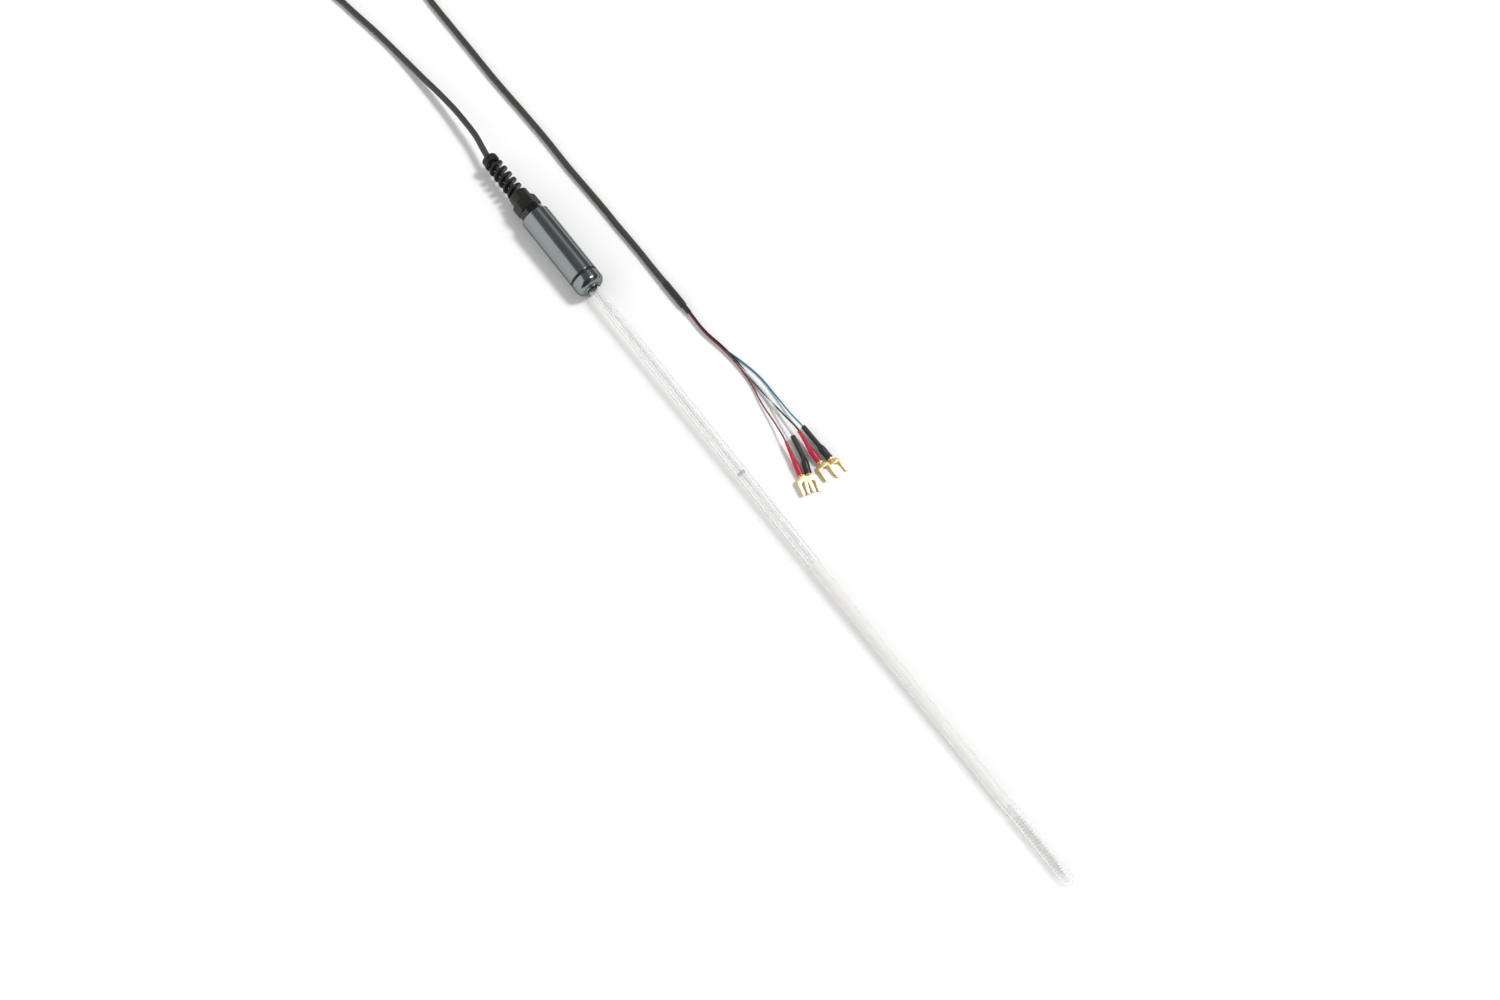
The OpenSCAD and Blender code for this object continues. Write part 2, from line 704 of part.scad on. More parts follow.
module red_lug_sleeve(lug) {
    lug_sleeve(lug, red_wide_r, red_sleeve_wall, red_thin_bore_r, red_thin_length, sleeve_red);
}
module black_lug_sleeve(lug) {
    lug_sleeve(lug, black_wide_r, black_sleeve_wall, black_thin_bore_r, black_thin_length,
        sleeve_black);
}
module sleeve_on_red() { red_lug_sleeve(lug_red); }
module sleeve_on_white() { black_lug_sleeve(lug_white); }
module sleeve_on_black() { red_lug_sleeve(lug_black); }
module sleeve_on_blue() { black_lug_sleeve(lug_blue); }
module lug_on_red() { fork_lug(lug_red, red_wide_r); }
module lug_on_white() { fork_lug(lug_white, black_wide_r); }
module lug_on_black() { fork_lug(lug_black, red_wide_r); }
module lug_on_blue() { fork_lug(lug_blue, black_wide_r); }

handle_tube();
nose_cap();
nose_seal_ring();
sheath_seal_rings();
sheath();
sheath_plug();
capillaries_rear();
capillaries_front();
capillary_disc();
guard_disc();
sensor_former();
platinum_winding();
platinum_leads();
terminal_block();
terminal_pins();
cable_cores();
gland_body();
gland_seal();
gland_nut_with_relief();
cable_in_gland();
cable_handle_run();
cable_coil();
cable_far_run();
breakout_sleeve();
breakout_inner_sleeve();
wire_red();
wire_white();
wire_black();
wire_blue();
sleeve_on_red();
sleeve_on_white();
sleeve_on_black();
sleeve_on_blue();
lug_on_red();
lug_on_white();
lug_on_black();
lug_on_blue();
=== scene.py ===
"""Quartz-sheathed resistance thermometer with its handle, bend relief, cable and fork lugs."""
from collections import namedtuple
import json
import math

import bmesh
import bpy
from bpy.props import FloatProperty, FloatVectorProperty, IntProperty, PointerProperty
from mathutils import Matrix, Vector

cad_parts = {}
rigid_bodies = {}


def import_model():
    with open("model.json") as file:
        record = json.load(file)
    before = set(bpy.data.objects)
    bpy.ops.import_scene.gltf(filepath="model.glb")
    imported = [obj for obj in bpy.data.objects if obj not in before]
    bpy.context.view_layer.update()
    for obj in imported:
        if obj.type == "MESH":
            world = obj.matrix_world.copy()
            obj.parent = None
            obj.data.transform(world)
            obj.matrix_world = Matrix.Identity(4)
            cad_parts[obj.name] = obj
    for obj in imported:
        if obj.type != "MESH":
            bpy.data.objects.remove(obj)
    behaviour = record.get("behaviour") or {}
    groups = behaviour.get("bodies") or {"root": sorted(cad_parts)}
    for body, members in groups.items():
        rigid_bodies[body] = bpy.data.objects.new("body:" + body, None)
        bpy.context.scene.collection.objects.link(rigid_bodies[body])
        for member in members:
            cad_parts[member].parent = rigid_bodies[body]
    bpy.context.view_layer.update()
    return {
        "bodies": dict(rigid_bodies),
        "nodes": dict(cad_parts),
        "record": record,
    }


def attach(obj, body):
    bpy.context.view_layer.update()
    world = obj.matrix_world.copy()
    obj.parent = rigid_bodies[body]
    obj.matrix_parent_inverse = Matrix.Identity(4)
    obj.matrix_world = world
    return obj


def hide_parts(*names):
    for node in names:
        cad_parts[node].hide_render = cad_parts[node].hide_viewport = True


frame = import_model()

bl_info = {
    "name": "Resistance Thermometer Probe",
    "version": (1, 0, 0),
    "blender": (4, 5, 0),
    "location": "View3D > Sidebar > Probe",
    "description": "Builds a quartz-sheathed resistance thermometer around its packed frame",
    "category": "Object",
}

MM = 0.001
FIT = 0.05 * MM  # play between pieces that fit into each other
QUARTZ_IOR = 1.458
BODY = next(iter(frame["bodies"]))

# ---- where the probe lies, from the record's mount on the handle
HANDLE_MOUNT = next(m for m in frame["record"]["mounts"] if m["name"] == "handle")
HANDLE_MOUNT_U = -37.4 * MM
AXIS = Vector(HANDLE_MOUNT["axis"]).normalized()
ACROSS = Vector((0, 1, 0))
UP = AXIS.cross(ACROSS)
NOSE = Vector(HANDLE_MOUNT["pos_m"]) - AXIS * HANDLE_MOUNT_U
LIE_DOWN = Matrix.Translation(NOSE) @ Matrix((AXIS, ACROSS, UP)).transposed().to_4x4()
FROM_NOSE = Matrix.Translation((NOSE.x, 0, 0))


def linear(hex_colour):
    """An sRGB hex value as linear red, green, blue and alpha."""
    parts = [int(hex_colour[i:i + 2], 16) / 255 for i in (1, 3, 5)]
    low = [c / 12.92 if c <= 0.04045 else ((c + 0.055) / 1.055) ** 2.4 for c in parts]
    return (*low, 1.0)


def length(name, description, millimetres, least=0):
    """A length property, given in millimetres and kept in metres."""
    return FloatProperty(name=name, description=description, default=millimetres * MM,
                         min=least, unit="LENGTH", subtype="DISTANCE", precision=5)


def turn_angle(name, description, degrees):
    """An angle property, given in degrees and kept in radians."""
    return FloatProperty(name=name, description=description, default=math.radians(degrees),
                         unit="ROTATION", subtype="ANGLE")


def colour(name, description, hex_colour):
    """A colour property with an sRGB hex default."""
    return FloatVectorProperty(name=name, description=description, size=4, min=0, max=1,
                               subtype="COLOR", default=linear(hex_colour))


# ---- sizes and colours that a user would change
class HandleSizes(bpy.types.PropertyGroup):
    """Sizes of the handle and its nose cap"""
    diameter: length("Diameter", "Outside diameter of the handle", 19)
    length: length("Length", "From the rear face to the cap's front face", 61.6)
    wall: length("Wall", "Wall of the handle tube", 1.5)
    rear_wall: length("Rear wall", "Thickness of the wall that takes the gland", 6)
    rear_bevel: length("Rear bevel", "Bevel round the rear edge", 0.8)
    cap_length: length("Cap length", "Length of the cap in front of the seal ring", 8.2)
    cap_round: length("Cap rounding", "Rounding of the cap's front edge", 4)
    groove: length("Groove", "Gap between tube and cap, filled by the seal ring", 1.7)
    spigot: length("Spigot", "Length of the cap's spigot behind the groove", 8)
    rim_width: length("Rim width", "Width of the raised rim round the sheath", 1.2)
    rim_height: length("Rim height", "Height of the raised rim", 0.7)


class SheathSizes(bpy.types.PropertyGroup):
    """Sizes of the quartz sheath"""
    diameter: length("Diameter", "Outside diameter of the sheath", 7.5)
    wall: length("Wall", "Wall of the sheath", 1)
    length: length("Length", "Length in front of the nose cap", 455)
    inside: length("Inside", "Length inside the handle", 24)
    frost_start: length("Frost start", "From the nose cap to the frosted band", 221.3)
    frost_length: length("Frost length", "Length of the frosted band", 178.6)
    frost_depth: length("Frost depth", "Depth that blasting takes off", 0.02)


class GlandSizes(bpy.types.PropertyGroup):
    """Sizes of the cable gland and its spiral bend relief"""
    thread_diameter: length("Thread", "Diameter of both gland threads", 11.2)
    body_flats: length("Body flats", "Across flats of the gland body", 14.4)
    body_hex: length("Body hexagon", "Length of the body's hexagon", 4.6)
    nut_flats: length("Nut flats", "Across flats of the gland nut", 15)
    nut_hex: length("Nut hexagon", "Length of the nut's hexagon", 7.7)
    body_turn: turn_angle("Body turn", "How far the gland body is screwed round", -24)
    nut_turn: turn_angle("Nut turn", "How far the gland nut is screwed round", 22)
    nut_round: length("Nut round", "Diameter of the nut's round end", 13.1)
    nut_round_length: length("Nut round length", "Length of the round end", 6.1)
    spiral_length: length("Spiral length", "Length of the open spiral", 26.5)
    spiral_pitch: length("Spiral pitch", "Pitch of the spiral", 4.98)
    spiral_root: length("Spiral root", "Diameter of the spiral at the nut", 11.8)
    spiral_end: length("Spiral end", "Diameter of the spiral at the collar", 11)
    spiral_bore: length("Spiral bore", "Channel inside the spiral", 4.7)
    rib_width: length("Rib width", "Width of the rib along the axis", 1.85)
    collar_diameter: length("Collar", "Diameter of the end collar", 10.4)
    collar_length: length("Collar length", "Length of the end collar", 5.5)
    collar_bevel: length("Collar bevel", "Bevel round the collar's edges", 1)


class CableSizes(bpy.types.PropertyGroup):
    """Sizes of the cable, the wires and the sleeves where the jacket ends"""
    diameter: length("Cable", "Outside diameter of the cable", 4)
    wire: length("Wire", "Outside diameter of each wire", 1)
    coil_mean: length("Coil radius", "Middle radius of the coil of spare cable", 24)
    coil_turns: FloatProperty(name="Coil turns", description="Turns of spare cable",
                              default=9.6, min=1, max=20)
    coil_layers: IntProperty(name="Coil layers", description="Layers of the coil",
                             default=2, min=1, max=4)
    breakout_diameter: length("Breakout", "Sleeve over the end of the jacket", 4.5)
    breakout_length: length("Breakout length", "Length of that sleeve", 20)
    inner_diameter: length("Inner sleeve", "Sleeve round the four wires", 3.2)
    inner_length: length("Inner sleeve length", "Length of it that shows", 5)


class LugSizes(bpy.types.PropertyGroup):
    """Sizes of the fork lugs and their sleeves"""
    width: length("Width", "Width over the two prongs", 9.2)
    slot: length("Slot", "Width of the slot", 4.5)
    depth: length("Slot depth", "Depth of the slot", 7.9)
    web: length("Web", "Web behind the slot", 2.8)
    thickness: length("Thickness", "Thickness of the sheet", 0.8)
    tongue_width: length("Tongue width", "Width of the tongue", 4.2)
    tongue: length("Tongue length", "Tongue in front of the sleeve", 1.3)
    barrel: length("Barrel", "Outside diameter of the crimp barrel", 3.2)
    barrel_length: length("Barrel length", "Length of the crimp barrel", 6)
    sleeve_wide: length("Wide stretch", "Sleeve's stretch over the barrel", 8.5)
    sleeve_taper: length("Taper", "Between the wide and the thin stretch", 1.8)
    red_wall: length("Red wall", "Wall of the red sleeves", 0.28)
    black_wall: length("Black wall", "Wall of the black sleeves", 0.58)
    red_thin: length("Red thin", "Thin stretch of the red sleeves", 13)
    black_thin: length("Black thin", "Thin stretch of the black sleeves", 15.5)
    red_flare: length("Red flare", "How much the red ones widen towards the barrel", 0.65)


class ProbeColours(bpy.types.PropertyGroup):
    """Colours of the probe"""
    anodised: colour("Anodised", "Anodised handle", "#8b9293")
    nylon: colour("Nylon", "Gland and bend relief", "#191814")
    body_nylon: colour("Gland body", "Glossy gland body", "#0c0c0c")
    rubber: colour("Rubber", "Seal rings", "#141414")
    jacket: colour("Jacket", "Cable jacket", "#31302b")
    frost: colour("Frost", "Frosted quartz", "#f7f6f3")
    gold: colour("Gold", "Gold-plated lugs", "#efd5a2")
    red_sleeve: colour("Red sleeve", "Red heat-shrink", "#b3123a")
    black_sleeve: colour("Black sleeve", "Black heat-shrink", "#201f1d")
    red_wire: colour("Red wire", "Red insulation", "#792a33")
    white_wire: colour("White wire", "Pale insulation", "#c9cccc")
    black_wire: colour("Black wire", "Black insulation", "#1d1e20")
    blue_wire: colour("Blue wire", "Blue insulation", "#2a7590")
    floor: colour("Floor", "Plain pale floor", "#f6f6f6")


class CameraPlace(bpy.types.PropertyGroup):
    """Where the camera stands"""
    azimuth: turn_angle("Azimuth", "Turn about the vertical", 52.72)
    elevation: turn_angle("Elevation", "Height over the floor's plane", 71.12)
    distance: length("Distance", "From the point looked at", 1193.4)
    target_x: length("Target X", "Point looked at, from the nose", 165.2, -1)
    target_y: length("Target Y", "Point looked at, from the nose", -4.5, -1)
    lens: FloatProperty(name="Lens", description="Focal length in millimetres", default=48)


# ---- materials
def add(tree, kind, settings=None, **inputs):
    """Adds one shader node with its settings. An input goes by its name, or by i and its
    number; it is a value, another node's socket, or a node that stands for its first output."""
    node = tree.nodes.new(kind)
    for name, value in (settings or {}).items():
        setattr(node, name, value)
    for name, value in inputs.items():
        key = int(name[1:]) if name[1:].isdigit() else name.replace("_", " ")
        if isinstance(value, bpy.types.Node):
            value = value.outputs[0]
        if isinstance(value, bpy.types.NodeSocket):
            tree.links.new(value, node.inputs[key])
        else:
            node.inputs[key].default_value = value
    return node


def new_material(name, base, roughness, *textures, **inputs):
    """A Principled material; each texture is a dict of settings for the function texture."""
    material = bpy.data.materials.new(name)
    material.use_nodes = True
    shader = material.node_tree.nodes["Principled BSDF"]
    inputs |= {"Base Color": base, "Roughness": roughness}
    for key, value in inputs.items():
        shader.inputs[key.replace("_", " ")].default_value = value
    for settings in textures:
        texture(material.node_tree, shader, **settings)
    return material


def texture(tree, shader, size, detail=3.0, stretch=(1, 1, 1), rough=(), shade=0, height=0):
    """Noise with patches about size millimetres wide, longer along each axis by its stretch.
    It spreads the roughness between two values, lightens and darkens the base colour by the
    part given as shade, and raises the surface by height millimetres."""
    place = add(tree, "ShaderNodeTexCoord").outputs["Object"]
    scale = tuple(1 / (MM * s) for s in stretch)
    spot = add(tree, "ShaderNodeMapping", Vector=place, Scale=scale)
    noise = add(tree, "ShaderNodeTexNoise", Vector=spot, Scale=1 / size, Detail=detail)
    if rough:
        low, high = rough
        spread = add(tree, "ShaderNodeMapRange", i0=noise, i1=0.25, i2=0.75, i3=low, i4=high)
        tree.links.new(spread.outputs[0], shader.inputs["Roughness"])
    if shade:
        base = shader.inputs["Base Color"].default_value[:3]
        dark = [c * (1 - shade) for c in base] + [1]
        light = [min(1, c * (1 + shade)) for c in base] + [1]
        mix = add(tree, "ShaderNodeMix", {"data_type": "RGBA"}, i0=noise, i6=dark, i7=light)
        tree.links.new(mix.outputs[2], shader.inputs["Base Color"])
    if height:
        bump = add(tree, "ShaderNodeBump", Height=noise, Distance=height * MM)
        tree.links.new(bump.outputs[0], shader.inputs["Normal"])


def anodised_aluminium(colours):
    """Aluminium, turned, fine-blasted and anodised blue-grey: soft-edged bands of reflection."""
    # tool marks run round the axis; they are drawn 0.35 mm apart, coarser than real, to show
    marks = dict(size=1, detail=2, stretch=(0.35, 12, 12), height=0.004)
    return new_material("anodised_aluminium_turned", colours.anodised, 0.17, marks,
                        dict(size=0.6, rough=(0.14, 0.2), shade=0.05), Metallic=1.0,
                        Specular_Tint=(0.5, 0.5, 0.5, 1))


def moulded_nylon(name, base, roughness, level=0.5):
    """Polyamide, injection moulded: satin from a sparked mould, glossy from a polished one."""
    return new_material(name, base, roughness,
                        dict(size=0.25, detail=4, shade=0.18, height=0.012),
                        dict(size=4, rough=(roughness * 0.8, roughness * 1.2)),
                        IOR=1.53, Specular_IOR_Level=level)


def moulded_rubber(colours):
    """Nitrile rubber, compression moulded: nearly black and dull."""
    return new_material("nitrile_rubber_moulded", colours.rubber, 0.5,
                        dict(size=0.8, rough=(0.42, 0.6), shade=0.2), IOR=1.52)


def extruded_jacket(colours):
    """Soft PVC jacket, extruded: a satin skin with a fine grain and faint waves along it."""
    return new_material("pvc_jacket_extruded", colours.jacket, 0.46,
                        dict(size=5, rough=(0.4, 0.54), shade=0.12),
                        dict(size=0.3, detail=4, height=0.01), IOR=1.53)


def shrunk_sleeve(shade, base, roughness):
    """Polyolefin heat-shrink sleeve: satin, with a faint ripple where it has shrunk."""
    ripple = dict(size=1.4, rough=(roughness - 0.07, roughness + 0.08), shade=0.12, height=0.05)
    return new_material("polyolefin_sleeve_" + shade, base, roughness, ripple, IOR=1.5)


def wire_insulation(shade, base, transmission=0.0):
    """PTFE insulation, extruded thin over the strand: smooth and a little waxy."""
    return new_material("ptfe_insulation_" + shade, base, 0.32,
                        dict(size=0.7, rough=(0.25, 0.4), shade=0.1),
                        IOR=1.38, Transmission_Weight=transmission)


def gold_plate(colours):
    """Brass sheet, stamped and gold plated: bright, with faint rolling marks."""
    return new_material("gold_plated_stamped", colours.gold, 0.38,
                        dict(size=1, detail=2, stretch=(3, 0.12, 0.12), height=0.004),
                        dict(size=1.5, rough=(0.34, 0.42), shade=0.06), Metallic=1.0)


def let_light_through(material, tint):
    """Light passes straight to what lies behind, dimmed by the tint at each face, and every
    other ray meets the shader. Returns the material."""
    tree = material.node_tree
    ray = add(tree, "ShaderNodeLightPath").outputs
    passes = add(tree, "ShaderNodeMath", {"operation": "MAXIMUM"},
                 i0=ray["Is Shadow Ray"], i1=ray["Is Diffuse Ray"])
    clear = add(tree, "ShaderNodeBsdfTransparent", Color=tint)
    mix = add(tree, "ShaderNodeMixShader", i0=passes, i1=tree.nodes["Principled BSDF"], i2=clear)
    tree.links.new(mix.outputs[0], tree.nodes["Material Output"].inputs["Surface"])
    return material


def drawn_quartz():
    """Fused quartz tube, drawn and fire polished: clear, seen by the light its walls bend."""
    material = new_material("fused_quartz_drawn", (1, 1, 1, 1), 0.0, IOR=QUARTZ_IOR,
                            Transmission_Weight=1.0)
    return let_light_through(material, (0.94, 0.94, 0.935, 1))


def thin_quartz():
    """Thin fused quartz, fire polished: clear face on, with a thin grey line of painted shade
    along an edge, where clear glass shows a dark edge by bending light.
    """
    material = new_material("fused_quartz_capillary_painted_edge", linear("#8a8b85"), 0.1, IOR=QUARTZ_IOR)
    tree = material.node_tree
    # the grey base colour, shown more where a face is seen edge on, is painted edge shade
    facing = add(tree, "ShaderNodeLayerWeight", Blend=0.5).outputs["Facing"]
    line = add(tree, "ShaderNodeMapRange", {"interpolation_type": "SMOOTHSTEP"},
               i0=facing, i1=0.36, i2=0.88, i3=0.01, i4=0.88)
    tree.links.new(line.outputs[0], tree.nodes["Principled BSDF"].inputs["Alpha"])
    return let_light_through(material, (0.95, 0.95, 0.95, 1))


def frosted_quartz(colours):
    """Fused quartz, blasted with fine grit: a white skin that scatters the light."""
    material = new_material("fused_quartz_blasted", colours.frost, 0.62,
                            dict(size=0.2, detail=4, height=0.01),
                            dict(size=2, stretch=(4, 1, 1), shade=0.02),
                            IOR=QUARTZ_IOR, Transmission_Weight=0.5)
    return let_light_through(material, (0.9, 0.895, 0.89, 1))


def drawn_wire(name, base):
    """Bare metal wire, drawn and annealed: a dull shine with fine lines along it."""
    marks = dict(size=1, detail=2, stretch=(2, 0.1, 0.1), rough=(0.28, 0.42))
    return new_material(name, base, 0.35, marks, Metallic=1.0)


def cast_insulator(name, base):
    """Filled resin or machined ceramic: pale, dull and a little mottled."""
    return new_material(name, base, 0.6, dict(size=0.5, detail=4, shade=0.06, height=0.01),
                        IOR=1.55)


FINISHES = {}


def finish(name):
    """The material of that name, made once from the scene's colours."""
    if not FINISHES:
        c = bpy.context.scene.probe_colours
        FINISHES.update({
            "anodised": anodised_aluminium(c),
            "nylon": moulded_nylon("nylon_moulded_satin", c.nylon, 0.42, 0.3),
            "nylon_gloss": moulded_nylon("nylon_moulded_glossy", c.body_nylon, 0.16),
            "rubber": moulded_rubber(c),
            "jacket": extruded_jacket(c),
            "red_sleeve": shrunk_sleeve("red", c.red_sleeve, 0.38),
            "black_sleeve": shrunk_sleeve("black", c.black_sleeve, 0.44),
            "red_wire": wire_insulation("red", c.red_wire),
            "white_wire": wire_insulation("pale", c.white_wire, 0.3),
            "black_wire": wire_insulation("black", c.black_wire),
            "blue_wire": wire_insulation("blue", c.blue_wire),
            "gold": gold_plate(c),
            "quartz": drawn_quartz(),
            "frost": frosted_quartz(c),
            "inner_quartz": thin_quartz(),
            "platinum": drawn_wire("platinum_drawn", linear("#cfcdc8")),
            "copper": drawn_wire("tinned_copper_drawn", linear("#c08a66")),
            "potting": cast_insulator("epoxy_potting_cast", linear("#d8d2c2")),
            "insulator": cast_insulator("ceramic_block_machined", linear("#e9e4d6")),
        })
    return FINISHES[name]


# ---- mesh making; profiles are in metres, as (u, r) along and out from the axis
def even(steps):
    """Values from 0 to 1 in even steps."""
    return [k / steps for k in range(steps + 1)]


def ease(t):
    """0 to 1 as t runs from 0 to 1, level at both ends."""
    return t * t * (3 - 2 * t)


def around(count):
    """Angles that share a full turn evenly."""
    return [2 * math.pi * k / count for k in range(count)]


def circle(u, radius, sides):
    """A ring of points round the axis."""
    return [(u, radius * math.sin(a), radius * math.cos(a)) for a in around(sides)]


def rounded(corners, radii, steps=6):
    """A closed outline with its corners rounded to the given radii."""
    out = []
    for i, radius in enumerate(radii):
        here = Vector(corners[i])
        before = Vector(corners[i - 1]) - here
        after = Vector(corners[(i + 1) % len(corners)]) - here
        if radius <= 0:
            out.append(here)
            continue
        half = before.angle(after) / 2
        reach = radius / math.tan(half)
        before, after = before.normalized(), after.normalized()
        middle = here + (before + after).normalized() * radius / math.sin(half)
        a, b = here + before * reach - middle, here + after * reach - middle
        turn = a.angle_signed(b)
        for k in range(steps + 1):
            angle = -turn * k / steps
            out.append(middle + Vector((a.x * math.cos(angle) - a.y * math.sin(angle),
                                        a.x * math.sin(angle) + a.y * math.cos(angle))))
    return [tuple(p) for p in out]


def loop_faces(rings, sides, closed):
    """Quads between rings of vertices, back to the first ring if closed."""
    last = rings if closed else rings - 1
    return [(i * sides + k, i * sides + (k + 1) % sides,
             ((i + 1) % rings) * sides + (k + 1) % sides, ((i + 1) % rings) * sides + k)
            for i in range(last) for k in range(sides)]


def lathe(profile, sides=128, closed=True):
    """Turns a (u, r) profile round the axis. An open profile has a pole at each end."""
    body = profile if closed else profile[1:-1]
    verts = [p for u, r in body for p in circle(u, r, sides)]
    faces = loop_faces(len(body), sides, closed)
    if not closed:
        first, last = len(verts), len(verts) + 1
        verts += [(profile[0][0], 0, 0), (profile[-1][0], 0, 0)]
        end = (len(body) - 1) * sides
        faces += [(first, (k + 1) % sides, k) for k in range(sides)]
        faces += [(last, end + k, end + (k + 1) % sides) for k in range(sides)]
    return verts, faces


def loft(rings):
    """A closed skin through rings of points, the last joined to the first."""
    sides = len(rings[0])
    return [p for ring in rings for p in ring], loop_faces(len(rings), sides, True)


def joined(*parts):
    """Several (vertices, faces) as one."""
    verts, faces = [], []
    for v, f in parts:
        base = len(verts)
        verts += v
        faces += [tuple(i + base for i in face) for face in f]
    return verts, faces


def new_object(name, data):
    """A new object in the scene."""
    made = bpy.data.objects.new(name, data)
    bpy.context.scene.collection.objects.link(made)
    return made


def finished_object(name, data, material):
    """A new object for a mesh or curve, with its finish."""
    data.materials.append(finish(material))
    return new_object(name, data)


def smooth_shaded(mesh, sharp):
    """Smooth faces, with a crease wherever they meet at more than sharp degrees."""
    mesh.shade_smooth()
    mesh.set_sharp_from_angle(angle=math.radians(sharp))


def make_piece(name, shape, material, node, place=LIE_DOWN, sharp=32):
    """A mesh object in the row's frame that rides on the body and stands for a CAD node."""
    mesh = bpy.data.meshes.new(name)
    mesh.from_pydata([place @ Vector(v) for v in shape[0]], [], shape[1])
    facets = bmesh.new()
    facets.from_mesh(mesh)
    bmesh.ops.recalc_face_normals(facets, faces=facets.faces)
    facets.to_mesh(mesh)
    facets.free()
    smooth_shaded(mesh, sharp)
    piece = finished_object(name, mesh, material)
    settle(piece, node)
    return piece


def settle(piece, node):
    """The piece rides on the body and stands for its node."""
    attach(piece, BODY)
    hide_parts(node)


def stations(h, g):
    """Places along the axis, counted from the cap's front face, that several pieces share."""
    rear = -h.length
    tube_front = -h.cap_length - h.groove
    body_rear = rear - g.body_hex
    nut_front = body_rear - FIT
    nut_rear = nut_front - g.nut_hex - g.nut_round_length
    collar_front = nut_rear - g.spiral_length
    return dict(rear=rear, tube_front=tube_front, body_rear=body_rear, nut_front=nut_front,
                nut_rear=nut_rear, collar_front=collar_front,
                collar_rear=collar_front - g.collar_length)


# ---- the route of the cable, listed in millimetres from the nose cap
HANDLE_RUN = [
    (-110.5, 0, 10.87), (-114.5, 0.3, 10.9), (-119, 1, 10.9), (-130, 2.7, 10.7),
    (-141, 3.1, 10.1), (-152, 3.2, 9.1), (-163, 2.8, 7.8), (-174, 2.1, 6.4),
    (-185, 1.1, 5), (-197, 0.2, 3.7), (-209, -0.8, 2.6), (-221, -1.9, 2),
    (-233, -3.3, 2), (-245, -5, 2), (-257, -6.9, 2), (-269, -8.6, 2), (-279, -10.7, 2),
]
FAR_RUN = [
    (-285.7, 43.4, 5.2), (-273, 41.6, 3.9), (-261, 40, 2.9), (-249, 38.7, 2.2),
    (-237, 37.9, 2), (-225, 37.6, 2), (-212, 37.6, 2), (-199, 37.6, 2),
    (-186, 37.6, 2), (-173, 37.5, 2), (-160, 37.5, 2), (-147, 37.8, 2),
    (-134, 38.2, 2), (-121, 38.5, 2), (-108, 38.7, 2), (-95, 38.6, 2),
    (-82, 38.4, 2), (-69, 38.6, 2), (-56, 38.9, 2), (-43, 39.1, 2),
    (-30, 39, 2), (-17, 39.2, 2), (-4, 39.3, 2), (9, 39.1, 2.1), (20, 39.1, 2.3), (33, 39.1, 2.3),
]
WIRES = {
    "red": [(33.5, 38.6, 2.8), (46, 38.6, 2.8), (62, 38.5, 2.6), (78, 40.8, 2.3),
            (91, 41.8, 2.1), (106, 41, 1.4), (122, 38, 2), (136, 36.4, 3.6),
            (149.8, 34, 5.2), (162.4, 30.9, 3.8)],
    "white": [(33.5, 38.6, 1.7), (46, 38.6, 1.7), (62, 38.5, 1.5), (78, 41, 1.2),
              (91, 42.2, 1.1), (106, 43.2, 2.6), (122, 43.3, 3.2), (136, 41.5, 3.7),
              (149.4, 39.6, 3.9), (164.5, 36.5, 2.8)],
    "black": [(33.5, 39.7, 2.8), (46, 39.7, 2.8), (62, 39.6, 2.6), (78, 42.1, 2.3),
              (91, 43.3, 0.8), (106, 42.9, 1.1), (122, 43.4, 2), (136, 44, 3.6),
              (149.1, 44.6, 5.2), (161.9, 42.9, 3.8)],
    "blue": [(33.5, 39.7, 1.7), (46, 39.7, 1.7), (62, 39.6, 1.5), (78, 42, 1.2),
             (91, 45.4, 0.9), (106, 48.1, 0.8), (122, 48.2, 1.3), (136, 47.9, 2.8),
             (148.3, 48.4, 3.9), (163.8, 48.8, 2.8)],
}
COIL_CENTRE = (-308, 13)
COIL_START = math.radians(-65)
BREAKOUT = (21, 39.1, 2.3)
JACKET_END = 33
# x, y and height place the middle of the prong ends; slope tilts the barrel, bend turns the
# thin part of the sleeve sideways, and pitch, roll and lift bend the fork against the barrel
Lug = namedtuple("Lug", "x y heading height slope bend sleeve pitch roll lift")
LUGS = {
    "red": Lug(183.6, 25.6, -14, 0.85, 6, 0, "red", 4.6, -7.7, 0.66),
    "white": Lug(184.9, 28.5, -21.5, 0, 4, 10, "black", 4.6, -7.7, 0.66),
    "black": Lug(183.8, 42.3, -1.5, 0.85, 6, -6, "red", 0, 0, 0),
    "blue": Lug(185.7, 49.4, 1.5, 0, 4, 0, "black", 0, 0, 0),
}


def coil_points(c):
    """The coil's turns: inwards on the floor, then outwards on the layer above."""
    points = []
    points_a_turn = 16
    pitch = c.diameter / MM
    per_layer = c.coil_turns / c.coil_layers
    half = per_layer * pitch / 2
    for i in range(1, int(c.coil_turns * points_a_turn)):
        turn = i / points_a_turn
        layer = min(int(turn / per_layer), c.coil_layers - 1)
        part = turn / per_layer - layer
        inwards = part if layer % 2 == 0 else 1 - part
        radius = c.coil_mean / MM + half - 2 * half * inwards
        # it climbs to the layer above within half a turn
        climb = max(0.0, min(1.0, (turn - per_layer) / 0.5 + 0.5))
        angle = COIL_START - 2 * math.pi * turn
        points.append((COIL_CENTRE[0] + radius * math.cos(angle),
                       COIL_CENTRE[1] + radius * math.sin(angle), pitch / 2 + pitch * ease(climb)))
    return points


